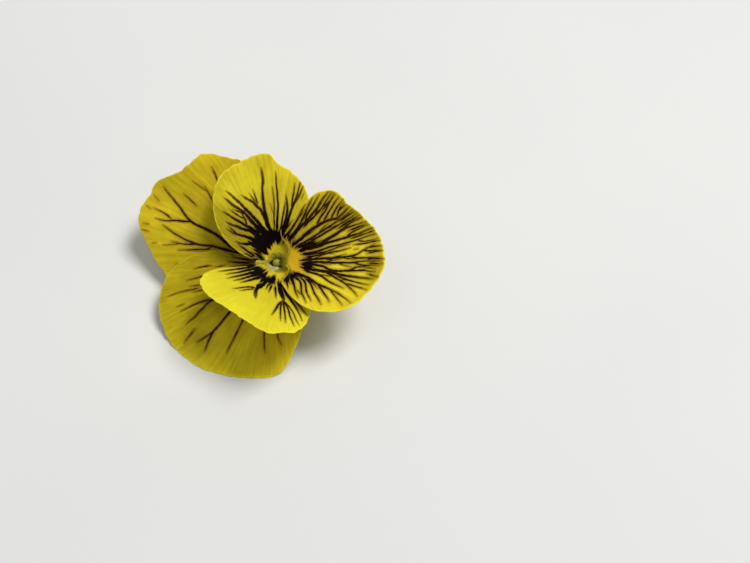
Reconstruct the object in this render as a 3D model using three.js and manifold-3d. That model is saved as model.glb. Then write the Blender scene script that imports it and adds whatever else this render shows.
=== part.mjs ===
// A picked pansy bloom that lies on its back on a flat surface.
//
// Millimetres, +Z up. The bloom rests on z = 0, and the origin is under the middle of its outline.
// The bloom has a frame of its own: its origin is in the throat, +Z looks out of the face and +X runs
// from the throat to the lip. Azimuths turn counter-clockwise round that +Z, in degrees. Left and right
// are the bloom's own as it is seen from the front with its lip down, so right is at azimuth 90.

import * as THREE from 'three';
import { mergeVertices } from 'three/addons/utils/BufferGeometryUtils.js';
import Module from 'manifold-3d';

const wasm = await Module();
wasm.setup();

// Where the bloom lies and which way it faces
const THROAT = new THREE.Vector3(4.28, -1.157, 11.0);
const FACE = new THREE.Vector3(-0.10, -0.31, 0.945).normalize();

// Petals: a claw rises from the receptacle, turns outwards in a funnel and spreads as a blade
const PETAL_THICKNESS = 0.6;
const CLAW_FOOT = -6.5; // height of the claws' feet in the bloom's frame
const FUNNEL = 3.2; // length of the turn from claw to blade
const SPREAD_FROM = 2.7; // radius at which a petal starts to widen from its claw to its fan
const SPREAD_OVER = 2.4;
const CLAW = { foot: 2.6, lean: 98, halfWidth: 30 };
const LIP_CLAW = { foot: 4.9, lean: 119, halfWidth: 24 };

// For each petal, from back to front:
// at: azimuth of its claw; fan: azimuths of its two sides; turn: length of the claw below the funnel;
// base, tip: slope above the face in degrees, on the first side, the middle and the last side;
// span: length over which the slope goes from base to tip; wave: ruffle of the margin;
// reach: [side, length from foot to margin], with the sides at -1 and 1
const PETALS = {
  petal_top_right: {
    at: 144, fan: [95, 205], turn: 2.4, claw: CLAW, color: 0xb3a51e,
    base: [6, -3, -9], tip: [10, 1, -9], span: 31,
    wave: { height: 0.5, count: 3.5, phase: 20 },
    reach: [
      [-1, 17], [-0.8, 24], [-0.6, 28.5], [-0.46, 31.7], [-0.33, 31.8], [-0.22, 32.6], [-0.07, 35.6],
      [0.01, 35.2], [0.1, 35.6], [0.21, 34.9], [0.34, 32], [0.5, 29], [0.75, 24], [1, 17],
    ],
  },
  petal_top_left: {
    at: 216, fan: [166, 302], turn: 3.4, claw: CLAW, color: 0xab9d1b,
    base: [-2, -2, -4], tip: [-1, -8, -12], span: 29,
    wave: { height: 0.25, count: 3, phase: 200 },
    reach: [
      [-1, 16], [-0.9, 21.6], [-0.75, 26.7], [-0.55, 30], [-0.3, 31.4], [-0.05, 30.8], [0.2, 28.8],
      [0.46, 27], [0.55, 25.7], [0.66, 22.1], [0.8, 18], [1, 12],
    ],
  },
  petal_side_left: {
    at: 288, fan: [186, 316], turn: 4.4, claw: CLAW, color: 0xebd92b,
    base: [16, 24, 2], tip: [30, 64, 4], span: 25,
    wave: { height: 0.35, count: 3, phase: 60 },
    reach: [
      [-1, 8.5], [-0.93, 17.5], [-0.82, 21.4], [-0.6, 23.1], [-0.2, 23.3], [0.08, 24.4], [0.32, 25.7],
      [0.44, 24.1], [0.57, 23.1], [0.7, 20.4], [0.86, 16], [1, 9.5],
    ],
  },
  petal_side_right: {
    at: 72, fan: [44, 178], turn: 4.4, claw: CLAW, color: 0xcdbe28,
    base: [4, 14, 22], tip: [-4, 12, 22], span: 26,
    wave: { height: 0.45, count: 3.3, phase: 30 },
    reach: [
      [-1, 9], [-0.85, 15], [-0.63, 20.5], [-0.4, 24.1], [-0.33, 24.8], [-0.24, 27.2], [0.06, 26.8],
      [0.18, 26.1], [0.35, 23.5], [0.58, 19.1], [0.8, 13.6], [1, 8.5],
    ],
  },
  petal_lip: {
    at: 0, fan: [-84, 84], turn: 6.0, claw: LIP_CLAW, color: 0xe0cf2b,
    base: [24, 8, 18], tip: [42, 14, 24], span: 27,
    wave: { height: 0.35, count: 4.2, phase: 100 },
    reach: [
      [-1, 9.5], [-0.88, 12.4], [-0.75, 17.4], [-0.6, 22.4], [-0.42, 26.4], [-0.28, 27.8], [-0.09, 29.8],
      [0.1, 29], [0.28, 26.9], [0.42, 25.5], [0.58, 25.2], [0.7, 22.2], [0.8, 16], [1, 9.5],
    ],
  },
};
const PETAL_COLUMNS = 26;
const FOOT_STEPS = [0, 0.5, 1]; // rows of the claw, as shares of its length below the funnel
const FUNNEL_STEPS = [0.25, 0.5]; // rows of the funnel, as shares of its length
const BLADE_FROM = 0.75; // share of the funnel's length where the blade's even rows start
const BLADE_ROWS = 11;
const MARGIN_ROW = 0.95; // one more row close to the margin, as a share of the blade

// The lip's hollow nectar spur hangs behind the lip's claw and its tip touches the surface
const SPUR_LINE = [[3.5, 0, -5.9], [3.6, 0, -7.4], [4.2, 0, -9.6], [5.0, 0, -12.2]];
const SPUR = { mouthAt: 0.4, radius: 1.6, tipRadius: 1.33, wall: 0.6, tipWall: 0.9, sides: 14 };

// Sepals stand round the receptacle's rim: a short appendage points back, the blade runs outwards
const SEPAL_THICKNESS = 0.6;
const SEPAL_AZIMUTHS = {
  sepal_top: 180,
  sepal_side_right: 108,
  sepal_side_left: 252,
  sepal_low_right: 50,
  sepal_low_left: 310,
};
const SEPAL = {
  foot: 4.2, footHeight: -9.3, lean: 105, turn: 1.6, funnel: 2.2, base: 24, tip: 0, length: 13, cup: 0.45,
  halfWidth: [[0, 0.55], [1.2, 0.95], [2.6, 1.05], [6.5, 1.75], [10, 1.2], [13, 0.15]],
};
const SEPAL_COLUMNS = 5;
const SEPAL_ROWS = 13;

// Receptacle and stalk stub, with a gap between the rim and what stands on it or beside it
const CLEARANCE = 0.3;
const RIM_RADIUS = 3.1;
const RECEPTACLE = [[0, -8.9], [0.95, -8.9], [1.6, -8.1], [RIM_RADIUS, -7.35], [RIM_RADIUS, -6.85], [0, -6.85]];
const STALK_RADIUS = 0.85;
const STALK_TOP = [0, 0, -7.8];
const STALK_SIDES = 10;
const STALK_RINGS = 18;
const STALK_ON_GROUND = [ // its middle line on the surface, towards the cut end
  [4.9, 2.3, 1.95],
  [3.2, 3.6, 1.15],
  [0, 5.6, 0.85],
  [-4.4, 8.6, 0.8],
  [-8.7, 11.2, 0.8],
];

// Pistil: ovary, style and round stigma along one bent line, as [length from the foot, radius]
const PISTIL_LINE = [[0, 0, -6.5], [0, 0, -4.6], [0.15, 0, -3.2], [-0.1, 0, -1.9], [-0.75, 0, 0.1]];
const PISTIL_GIRTH = [
  [0, 0.45], [0.35, 0.74], [0.95, 0.85], [1.6, 0.72], [2.2, 0.42], [2.8, 0.3], [4.0, 0.32], [4.7, 0.5],
  [5.2, 0.8], [5.75, 0.9], [6.3, 0.72], [6.6, 0.35],
];
const PISTIL_SIDES = 12;

// Stamens: five anthers joined in a cone round the ovary, and the two lower ones' nectar spurs
const ANTHER_PROFILE = [
  [1.3, -6.5], [1.75, -6.5], [1.78, -5.4], [1.5, -3.7], [1.05, -2.9], [0.8, -3.1], [1.3, -4.5],
];
const ANTHER = { count: 5, groove: 0.1, sides: 30 }; // groove: its depth between anthers, share of radius
const NECTAR_SPUR = { radius: 0.25, sides: 6, rings: 6 };
const NECTAR_SPUR_LINE = [[1.45, 0.75, -5.3], [2.4, 0.6, -5.2], [3.2, 0.42, -5.7], [3.5, 0.4, -7]];

const GREEN = 0x6f8f3c;
const PALE_GREEN = 0xa9b86a;
const ORANGE = 0xd9972b;

const PI2 = Math.PI * 2;
const rad = THREE.MathUtils.degToRad;

// The bloom's frame in the part's frame
const lipSide = new THREE.Vector3(1, 0, 0).addScaledVector(FACE, -FACE.x).normalize();
const rightSide = new THREE.Vector3().crossVectors(FACE, lipSide);
const bloomFrame = new THREE.Matrix4().makeBasis(lipSide, rightSide, FACE).setPosition(THROAT);
const fromGround = bloomFrame.clone().invert();
const upInBloom = new THREE.Vector3(lipSide.z, rightSide.z, FACE.z);

/** Height of a point of the bloom's frame above the surface. */
function heightOf(point) {
  return THROAT.z + point.dot(upInBloom);
}

/** Lifts a point of the bloom's frame to a least height above the surface. */
function liftTo(point, least) {
  return point.addScaledVector(upInBloom, Math.max(0, least - heightOf(point)));
}

/** 0 to 1 with soft ends. */
function smooth(t) {
  const c = THREE.MathUtils.clamp(t, 0, 1);
  return c * c * (3 - 2 * c);
}

/** Parabola through three values at side -1, 0 and 1. */
function bend([first, middle, last], side) {
  return middle + (last - first) / 2 * side + ((last + first) / 2 - middle) * side * side;
}

/** Smooth curve through [x, y] points, as a function of x. */
function curveThrough(points) {
  const slopes = points.map((point, i) => {
    const before = points[Math.max(0, i - 1)];
    const after = points[Math.min(points.length - 1, i + 1)];
    return (after[1] - before[1]) / (after[0] - before[0]);
  });
  return (x) => {
    let i = 0;
    while (i < points.length - 2 && x > points[i + 1][0]) i += 1;
    const width = points[i + 1][0] - points[i][0];
    const u = (x - points[i][0]) / width;
    const rise = points[i][1] * (2 * u ** 3 - 3 * u ** 2 + 1) + points[i + 1][1] * (3 * u ** 2 - 2 * u ** 3);
    const lean = slopes[i] * (u ** 3 - 2 * u ** 2 + u) + slopes[i + 1] * (u ** 3 - u ** 2);
    return rise + width * lean;
  };
}

/**
 * Line from a foot that follows a slope, in the plane of the bloom's axis.
 * @param {number} foot radius where the line starts
 * @param {number} height height where it starts
 * @param {(length: number) => number} slope degrees above the face's plane at a length along the line
 * @returns {(length: number) => number[]} radius and height at a length
 */
function sloped(foot, height, slope) {
  const step = 0.1;
  const places = [[foot, height]];
  return (length) => {
    const steps = Math.max(0, length) / step;
    while (places.length < steps + 2) {
      const [r, z] = places[places.length - 1];
      const angle = rad(slope((places.length - 0.5) * step));
      places.push([r + Math.cos(angle) * step, z + Math.sin(angle) * step]);
    }
    const i = Math.floor(steps);
    const share = steps - i;
    return [0, 1].map((k) => places[i][k] * (1 - share) + places[i + 1][k] * share);
  };
}

/** Slope in degrees that goes from a claw's lean to a blade's slope over a funnel. */
function funnelSlope(length, lean, turn, funnel, blade) {
  const share = smooth((length - turn) / funnel);
  return lean * (1 - share) + blade * share;
}

/**
 * Middle surface of a petal.
 * @param {object} petal one entry of PETALS
 * @returns {(length: number, side: number) => THREE.Vector3} a point in the bloom's frame
 */
function petalSurface(petal) {
  const rays = new Map();
  const bladeFrom = petal.turn + FUNNEL / 2;
  const rayOf = (side) => {
    if (!rays.has(side)) {
      const slope = (length) => {
        const share = THREE.MathUtils.clamp((length - bladeFrom) / (petal.span - bladeFrom), 0, 1.6);
        const blade = bend(petal.base, side) * (1 - share) + bend(petal.tip, side) * share;
        return funnelSlope(length, petal.claw.lean, petal.turn, FUNNEL, blade);
      };
      rays.set(side, sloped(petal.claw.foot, CLAW_FOOT, slope));
    }
    return rays.get(side);
  };
  return (length, side) => {
    const [r, z] = rayOf(side)(length);
    const spread = length > petal.turn ? smooth((r - SPREAD_FROM) / SPREAD_OVER) : 0;
    const inClaw = petal.at + side * petal.claw.halfWidth;
    const inFan = (petal.fan[0] + petal.fan[1]) / 2 + side * (petal.fan[1] - petal.fan[0]) / 2;
    const azimuth = rad(inClaw * (1 - spread) + inFan * spread);
    const outward = THREE.MathUtils.clamp(length / petal.span, 0, 1.3);
    const turns = petal.wave.count * (side + 1) / 2 + petal.wave.phase / 360;
    const ruffle = petal.wave.height * outward ** 3 * Math.sin(PI2 * turns);
    const point = new THREE.Vector3(r * Math.cos(azimuth), r * Math.sin(azimuth), z + ruffle);
    return liftTo(point, PETAL_THICKNESS / 2);
  };
}

/**
 * Middle surface of a sepal, its length along the sepal's line and its side across it.
 * @param {number} at azimuth of the sepal
 * @returns {(length: number, side: number) => THREE.Vector3} a point in the bloom's frame
 */
function sepalSurface(at) {
  const widthAt = curveThrough(SEPAL.halfWidth);
  const slope = (length) => {
    const share = THREE.MathUtils.clamp(length / SEPAL.length, 0, 1);
    const blade = THREE.MathUtils.lerp(SEPAL.base, SEPAL.tip, share);
    return funnelSlope(length, SEPAL.lean, SEPAL.turn, SEPAL.funnel, blade);
  };
  const line = sloped(SEPAL.foot, SEPAL.footHeight, slope);
  const azimuth = rad(at);
  return (length, side) => {
    const [r, z] = line(length);
    const across = side * widthAt(THREE.MathUtils.clamp(length, 0, SEPAL.length));
    const angle = rad(slope(length));
    const lift = SEPAL.cup * side * side * Math.min(1, length / SEPAL.length * 3);
    const out = r - lift * Math.sin(angle);
    return new THREE.Vector3(
      out * Math.cos(azimuth) - across * Math.sin(azimuth),
      out * Math.sin(azimuth) + across * Math.cos(azimuth),
      z + lift * Math.cos(angle),
    );
  };
}

/**
 * Closed thin blade: a middle surface given its thickness, with both faces split alike.
 * @param {(length: number, side: number) => THREE.Vector3} surface middle surface
 * @param {number} columns points across
 * @param {(side: number) => number[]} lengthsAt lengths of the rows on a side
 * @param {number} thickness
 * @returns {THREE.BufferGeometry} closed geometry with its faces out
 */
function bladeGeometry(surface, columns, lengthsAt, thickness) {
  const sides = Array.from({ length: columns }, (_, i) => i / (columns - 1) * 2 - 1);
  const lengths = sides.map(lengthsAt);
  const rows = lengths[0].length;
  const delta = 1e-3;
  const front = [];
  const back = [];
  for (let row = 0; row < rows; row += 1) {
    sides.forEach((side, column) => {
      const length = lengths[column][row];
      const middle = surface(length, side);
      const outward = surface(length + delta, side).sub(middle);
      const normal = outward.cross(surface(length, side + delta).sub(middle)).setLength(thickness / 2);
      front.push(liftTo(middle.clone().add(normal), 0));
      back.push(liftTo(middle.clone().sub(normal), 0));
    });
  }
  const count = rows * columns;
  const faces = [];
  for (let row = 0; row < rows - 1; row += 1) {
    for (let column = 0; column < columns - 1; column += 1) {
      const a = row * columns + column;
      const b = a + columns;
      faces.push(a, b, b + 1, a, b + 1, a + 1);
      faces.push(a + count, b + 1 + count, b + count, a + count, a + 1 + count, b + 1 + count);
    }
  }
  const rim = [];
  for (let column = 0; column < columns - 1; column += 1) rim.push(column);
  for (let row = 0; row < rows - 1; row += 1) rim.push(row * columns + columns - 1);
  for (let column = columns - 1; column > 0; column -= 1) rim.push((rows - 1) * columns + column);
  for (let row = rows - 1; row > 0; row -= 1) rim.push(row * columns);
  rim.forEach((from, i) => {
    const to = rim[(i + 1) % rim.length];
    faces.push(from, to, to + count, from, to + count, from + count);
  });
  return geometryOf([...front, ...back], faces);
}

/**
 * Closed round bar along a line, with a flat end at each end.
 * @param {THREE.Vector3[]} points points that the middle line runs through
 * @param {number[][]} girth [length along the line, radius] for each ring
 * @param {number} sides points round a ring
 * @returns {THREE.BufferGeometry} closed geometry with its faces out
 */
function barGeometry(points, girth, sides) {
  const line = new THREE.CatmullRomCurve3(points);
  const total = line.getLength();
  const vertices = [];
  let normal = new THREE.Vector3(0, 1, 0);
  girth.forEach(([length, radius]) => {
    const u = Math.min(1, length / total);
    const tangent = line.getTangentAt(u);
    normal = normal.clone().addScaledVector(tangent, -normal.dot(tangent)).normalize();
    const across = new THREE.Vector3().crossVectors(tangent, normal);
    for (let k = 0; k < sides; k += 1) {
      const angle = PI2 * k / sides;
      const vertex = line.getPointAt(u).addScaledVector(normal, radius * Math.cos(angle));
      vertices.push(liftTo(vertex.addScaledVector(across, radius * Math.sin(angle)), 0));
    }
  });
  const faces = [];
  const last = (girth.length - 1) * sides;
  for (let k = 0; k < sides; k += 1) {
    const next = (k + 1) % sides;
    for (let ring = 0; ring < last; ring += sides) {
      faces.push(ring + k, ring + next, ring + sides + next, ring + k, ring + sides + next, ring + sides + k);
    }
    if (k > 0 && k < sides - 1) faces.push(0, next, k, last, last + k, last + next);
  }
  return geometryOf(vertices, faces);
}

/** Body turned round the bloom's axis, from a profile that starts and ends on it or closes on itself. */
function turnedGeometry(profile, sides) {
  const geometry = new THREE.LatheGeometry(profile.map(([r, z]) => new THREE.Vector2(r, z)), sides);
  return geometry.rotateX(Math.PI / 2);
}

/** Indexed geometry from points and face indices. */
function geometryOf(vertices, faces) {
  const geometry = new THREE.BufferGeometry();
  geometry.setAttribute('position', new THREE.Float32BufferAttribute(vertices.flatMap((v) => v.toArray()), 3));
  geometry.setIndex(faces);
  return geometry;
}

/** A point of the surface's frame as a point of the bloom's frame. */
function onGround(place) {
  return new THREE.Vector3(...place).applyMatrix4(fromGround);
}

/** Rounded end of a bar: rings from a length on to the tip, for a given radius. */
function roundEnd(length, radius) {
  return [0, 30, 55, 75, 88].map((degrees) => {
    const angle = rad(degrees);
    return [length - radius + radius * Math.sin(angle), radius * Math.cos(angle)];
  });
}

/** Closed solid of a geometry, its shared vertices merged. */
function solidOf(geometry) {
  geometry.deleteAttribute('normal');
  geometry.deleteAttribute('uv');
  const merged = mergeVertices(geometry);
  const corners = Array.from(merged.index.array);
  const triVerts = [];
  for (let i = 0; i < corners.length; i += 3) {
    const [a, b, c] = corners.slice(i, i + 3);
    if (a !== b && b !== c && c !== a) triVerts.push(a, b, c);
  }
  const vertProperties = merged.attributes.position.array;
  return new wasm.Manifold(new wasm.Mesh({ numProp: 3, vertProperties, triVerts: Uint32Array.from(triVerts) }));
}

/** Geometry of a solid. */
function meshOf(solid) {
  const mesh = solid.getMesh();
  const geometry = new THREE.BufferGeometry();
  geometry.setAttribute('position', new THREE.BufferAttribute(mesh.vertProperties, 3));
  geometry.setIndex(new THREE.BufferAttribute(mesh.triVerts, 1));
  return geometry;
}

/** Even lengths from one length to another. */
function evenly(from, to, count) {
  return Array.from({ length: count }, (_, i) => from + (to - from) * i / (count - 1));
}

/** A petal's blade and claw, with its rows closer together in the funnel. */
function petalGeometry(petal) {
  const reachAt = curveThrough(petal.reach);
  const bladeFrom = petal.turn + BLADE_FROM * FUNNEL;
  const lengthsAt = (side) => {
    const blade = evenly(bladeFrom, reachAt(side), BLADE_ROWS);
    blade.splice(-1, 0, THREE.MathUtils.lerp(bladeFrom, reachAt(side), MARGIN_ROW));
    const foot = FOOT_STEPS.map((share) => share * petal.turn);
    return [...foot, ...FUNNEL_STEPS.map((share) => petal.turn + share * FUNNEL), ...blade];
  };
  return bladeGeometry(petalSurface(petal), PETAL_COLUMNS, lengthsAt, PETAL_THICKNESS);
}

/** Bar along the spur's line, thicker or thinner than its wall by a number of millimetres. */
function spurBar(from, extra, to) {
  const girth = [
    [from, SPUR.radius + extra],
    [from + 1.6, SPUR.radius + extra],
    [from + 3.4, (SPUR.radius + SPUR.tipRadius) / 2 + extra],
    ...roundEnd(to, SPUR.tipRadius + extra),
  ];
  return barGeometry(SPUR_LINE.map((place) => new THREE.Vector3(...place)), girth, SPUR.sides);
}

/** Length of the smooth line through some points. */
function lineLength(points) {
  return new THREE.CatmullRomCurve3(points.map((place) => new THREE.Vector3(...place))).getLength();
}

/** The lip with its spur, open at the mouth behind the claw. */
function lipGeometry(petal) {
  const tip = lineLength(SPUR_LINE);
  const wall = solidOf(spurBar(SPUR.mouthAt, 0, tip));
  const hollow = solidOf(spurBar(SPUR.mouthAt - 0.1, -SPUR.wall, tip - SPUR.tipWall));
  return meshOf(solidOf(petalGeometry(petal)).add(wall).subtract(hollow));
}

/** One sepal at an azimuth. */
function sepalGeometry(at) {
  const lengthsAt = () => evenly(0, SEPAL.length, SEPAL_ROWS);
  return bladeGeometry(sepalSurface(at), SEPAL_COLUMNS, lengthsAt, SEPAL_THICKNESS);
}

/** The receptacle's disc with the stalk below it, notched where the spur passes. */
function stalkGeometry() {
  const points = [new THREE.Vector3(...STALK_TOP), ...STALK_ON_GROUND.map(onGround)];
  const total = new THREE.CatmullRomCurve3(points).getLength();
  const girth = evenly(0, total, STALK_RINGS).map((length) => [length, STALK_RADIUS]);
  const spurRoom = solidOf(spurBar(0, CLEARANCE, lineLength(SPUR_LINE)));
  const disc = solidOf(turnedGeometry(RECEPTACLE, 40));
  return meshOf(disc.add(solidOf(barGeometry(points, girth, STALK_SIDES))).subtract(spurRoom));
}

/** Ovary, style and stigma. */
function pistilGeometry() {
  return barGeometry(PISTIL_LINE.map((place) => new THREE.Vector3(...place)), PISTIL_GIRTH, PISTIL_SIDES);
}

/** The cone of anthers, grooved between them, with the nectar spurs of the two lower ones. */
function stamensGeometry() {
  const cone = turnedGeometry([...ANTHER_PROFILE, ANTHER_PROFILE[0]], ANTHER.sides);
  const position = cone.attributes.position;
  for (let i = 0; i < position.count; i += 1) {
    const angle = Math.atan2(position.getY(i), position.getX(i));
    const share = 1 - ANTHER.groove * (1 - Math.abs(Math.cos(angle * ANTHER.count / 2)));
    position.setXY(i, position.getX(i) * share, position.getY(i) * share);
  }
  const girth = evenly(0, lineLength(NECTAR_SPUR_LINE), NECTAR_SPUR.rings);
  const spurs = [1, -1].map((hand) => {
    const points = NECTAR_SPUR_LINE.map(([x, y, z]) => new THREE.Vector3(x, y * hand, z));
    return solidOf(barGeometry(points, girth.map((length) => [length, NECTAR_SPUR.radius]), NECTAR_SPUR.sides));
  });
  return meshOf(spurs.reduce((solid, spur) => solid.add(spur), solidOf(cone)));
}

const bloom = new THREE.Group();
bloom.applyMatrix4(bloomFrame);

/** Adds a named piece to the bloom. */
function addPiece(name, geometry, color, roughness) {
  geometry.computeVertexNormals();
  const mesh = new THREE.Mesh(geometry, new THREE.MeshStandardMaterial({ color, roughness, metalness: 0 }));
  mesh.name = name;
  bloom.add(mesh);
}

Object.entries(PETALS).forEach(([name, petal]) => {
  addPiece(name, name === 'petal_lip' ? lipGeometry(petal) : petalGeometry(petal), petal.color, 0.6);
});
Object.entries(SEPAL_AZIMUTHS).forEach(([name, at]) => addPiece(name, sepalGeometry(at), GREEN, 0.65));
addPiece('stalk', stalkGeometry(), GREEN, 0.6);
addPiece('pistil', pistilGeometry(), PALE_GREEN, 0.5);
addPiece('stamens', stamensGeometry(), ORANGE, 0.7);

const part = new THREE.Group();
part.add(bloom);

export default part;
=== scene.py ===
"""Looks of a picked pansy bloom that lies on its back on a pale surface.

Sizes are in millimetres and angles in degrees until a mesh is made, and meshes are in metres. The bloom has
a frame of its own: its origin is in the throat, +Z looks out of the face and +X runs from the throat to the
lip. Azimuths turn counter-clockwise round that +Z. A place on a petal is given by its length, measured along
the petal from its foot, and its side, which runs from -1 to 1 across the petal.
"""

import logging
import math
from dataclasses import dataclass, replace
from enum import Enum
from functools import cache
from typing import Any, Callable, Protocol, Sequence

import bpy
import numpy as np
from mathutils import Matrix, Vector
from mathutils.kdtree import KDTree


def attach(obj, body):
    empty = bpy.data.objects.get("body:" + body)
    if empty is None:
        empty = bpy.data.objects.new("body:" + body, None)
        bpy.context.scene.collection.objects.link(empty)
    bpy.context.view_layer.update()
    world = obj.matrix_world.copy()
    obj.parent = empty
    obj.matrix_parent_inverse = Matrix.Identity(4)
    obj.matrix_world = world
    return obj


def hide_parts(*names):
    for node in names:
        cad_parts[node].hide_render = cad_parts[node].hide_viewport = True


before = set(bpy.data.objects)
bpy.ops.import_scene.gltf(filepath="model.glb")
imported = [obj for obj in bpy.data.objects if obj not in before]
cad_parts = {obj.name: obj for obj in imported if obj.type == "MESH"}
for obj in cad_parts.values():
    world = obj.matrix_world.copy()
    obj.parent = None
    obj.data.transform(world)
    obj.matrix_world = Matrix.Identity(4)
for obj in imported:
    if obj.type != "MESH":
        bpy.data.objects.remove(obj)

logging.basicConfig(level=logging.INFO, format="%(message)s")
log = logging.getLogger("bloom")

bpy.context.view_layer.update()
BODY = "root"
MM = 0.001
SEED = 41
TURN = 2 * np.pi

# Millimetres for each unit of a UV map
UV_UNIT = 10

Colour = tuple[float, float, float]
Spot = tuple[float, float, float]
Place = tuple[float, float]
Points = np.ndarray
Faces = Sequence[Sequence[int]]
Object = bpy.types.Object
Material = bpy.types.Material
Node = bpy.types.Node
Socket = bpy.types.NodeSocket
Tree = bpy.types.NodeTree

# Where the bloom lies and which way it faces
THROAT = np.array([4.28, -1.157, 11.0])
FACE = np.array([-0.10, -0.31, 0.945])

# How the photograph frames it, in pixels of its 750 x 563 frame
PICTURE_WIDTH, PICTURE_HEIGHT = 750, 563
THROAT_PIXEL = (278, 262)
FOCAL_PIXELS = 1150
PIXELS_PER_MM = 4.73
VIEW_ELEVATION = 60


class Slot(Enum):
    """Material slots of the record."""

    PETAL_FRONT = "petal_front"
    PETAL_BACK = "petal_back"
    SEPAL = "sepal"
    STALK = "stalk"
    PISTIL = "pistil"
    ANTHER = "anther"


def unit(vector: Points) -> Points:
    """Vector of length 1 with the same direction."""
    return vector / np.linalg.norm(vector, axis=-1, keepdims=True)


def smooth(t: Points | float) -> Points:
    """0 to 1 with soft ends."""
    c = np.clip(t, 0, 1)
    return c * c * (3 - 2 * c)


def between(ends: Place, share: float) -> float:
    """Number at a share of the way between two."""
    return ends[0] + (ends[1] - ends[0]) * share


def bend(values: Spot, side: Points) -> Points:
    """Parabola through three values at side -1, 0 and 1."""
    first, middle, last = values
    return middle + (last - first) / 2 * side + ((last + first) / 2 - middle) * side * side


def curve_through(points: Sequence[Place]) -> Callable[[Points], Points]:
    """Smooth curve through some points.

    Args:
        points: (x, y) with rising x.

    Returns:
        A function that gives y for an array of x.
    """
    x, y = np.array(points, float).T
    last = len(x) - 1
    order = np.arange(last + 1)
    before, after = np.maximum(order - 1, 0), np.minimum(order + 1, last)
    slope = (y[after] - y[before]) / (x[after] - x[before])

    def at(place: Points) -> Points:
        """Height of the curve at each place."""
        place = np.asarray(place, float)
        i = np.clip(np.searchsorted(x, place, side="right") - 1, 0, last - 1)
        width = x[i + 1] - x[i]
        u = (place - x[i]) / width
        ends = y[i] * (2 * u**3 - 3 * u**2 + 1) + y[i + 1] * (3 * u**2 - 2 * u**3)
        return ends + width * (slope[i] * (u**3 - 2 * u**2 + u) + slope[i + 1] * (u**3 - u**2))

    return at


def wander(seed: int, waves: int, low: float, high: float) -> Callable[[Points], Points]:
    """Seeded wavy function with a range of about -1 to 1.

    Args:
        seed: Chooses the waves.
        waves: How many sines are added.
        low: Smallest number of turns per unit.
        high: Largest number of turns per unit.

    Returns:
        A function of one array.
    """
    rng = np.random.default_rng(seed)
    turns = rng.uniform(low, high, waves)
    phase = rng.uniform(0, TURN, waves)
    weight = rng.uniform(0.5, 1, waves)
    weight /= np.sqrt((weight**2).sum())

    def at(place: Points) -> Points:
        """Sum of the waves at each place."""
        return (weight * np.sin(TURN * np.asarray(place)[..., None] * turns + phase)).sum(-1)

    return at


class BloomFrame:
    """The bloom's own frame in the part's frame."""

    def __init__(self) -> None:
        """Sets up the three directions of the frame."""
        face = unit(FACE)
        lip_side = unit(np.array([1.0, 0, 0]) - face[0] * face)
        self.axes = np.stack([lip_side, np.cross(face, lip_side), face])

    def to_part(self, points: Points) -> Points:
        """Points of the bloom's frame as points of the part's frame, in millimetres."""
        return THROAT + np.asarray(points, float) @ self.axes

    def from_part(self, points: Points) -> Points:
        """Points of the part's frame as points of the bloom's frame, in millimetres."""
        return (np.asarray(points, float) - THROAT) @ self.axes.T


BLOOM = BloomFrame()


# Meshes


def mesh_object(name: str, points: Points, faces: Faces, smooth_faces: bool = True) -> Object:
    """Object from points in millimetres of the part's frame.

    Args:
        name: Name of the object.
        points: One row for each vertex.
        faces: Vertex indices of each face, counter-clockwise from outside.
        smooth_faces: Whether its faces are shaded smooth.

    Returns:
        The object, linked to the scene, with its place in its mesh.
    """
    mesh = bpy.data.meshes.new(name)
    mesh.from_pydata((np.asarray(points) * MM).tolist(), [], [tuple(map(int, face)) for face in faces])
    mesh.polygons.foreach_set("use_smooth", [smooth_faces] * len(mesh.polygons))
    return place_in_scene(name, mesh)


def place_in_scene(name: str, data: Any) -> Object:
    """New object at the origin of the scene, for a mesh, light or camera.

    Args:
        name: Name of the object.
        data: Its mesh, light or camera.

    Returns:
        The object.
    """
    made = bpy.data.objects.new(name, data)
    bpy.context.collection.objects.link(made)
    return made


def above_ground(points: Points) -> Points:
    """Points of the part's frame, with none under the surface that the bloom lies on."""
    return np.concatenate([points[..., :2], np.maximum(points[..., 2:], 0)], -1)


def add_values(piece: Object, name: str, values: Points) -> None:
    """Stores one number for each vertex as an attribute."""
    attribute = piece.data.attributes.new(name, "FLOAT", "POINT")
    attribute.data.foreach_set("value", np.asarray(values, np.float32).ravel())


def add_uv(piece: Object, across: Points, along: Points) -> None:
    """Gives a piece a UV map from two numbers for each vertex.

    Args:
        piece: The piece.
        across: First number of each vertex.
        along: Second number of each vertex.
    """
    layer = piece.data.uv_layers.new(name="growth")
    corners = np.empty(len(piece.data.loops), np.int32)
    piece.data.loops.foreach_get("vertex_index", corners)
    layer.data.foreach_set("uv", np.stack([across, along], -1)[corners].astype(np.float32).ravel())


def join(name: str, pieces: Sequence[Object]) -> Object:
    """Joins objects into the first one and renames it.

    Args:
        name: Name of the result.
        pieces: The objects.

    Returns:
        The joined object.
    """
    first = pieces[0]
    with bpy.context.temp_override(active_object=first, selected_editable_objects=list(pieces)):
        bpy.ops.object.join()
    first.name = name
    first.data.name = name
    return first


def finish_piece(piece: Object, material: Material, nodes: Sequence[str] = ()) -> Object:
    """Gives a piece its material and ties it to the frame.

    Args:
        piece: The finished mesh.
        material: Its material.
        nodes: CAD nodes that it stands for.

    Returns:
        The piece.
    """
    piece.data.materials.clear()
    piece.data.materials.append(material)
    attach(piece, BODY)
    for node in nodes:
        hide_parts(node)
    return piece


# The inner points of a grid, without its outer rows and columns
CORE = (slice(1, -1), slice(1, -1))


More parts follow.
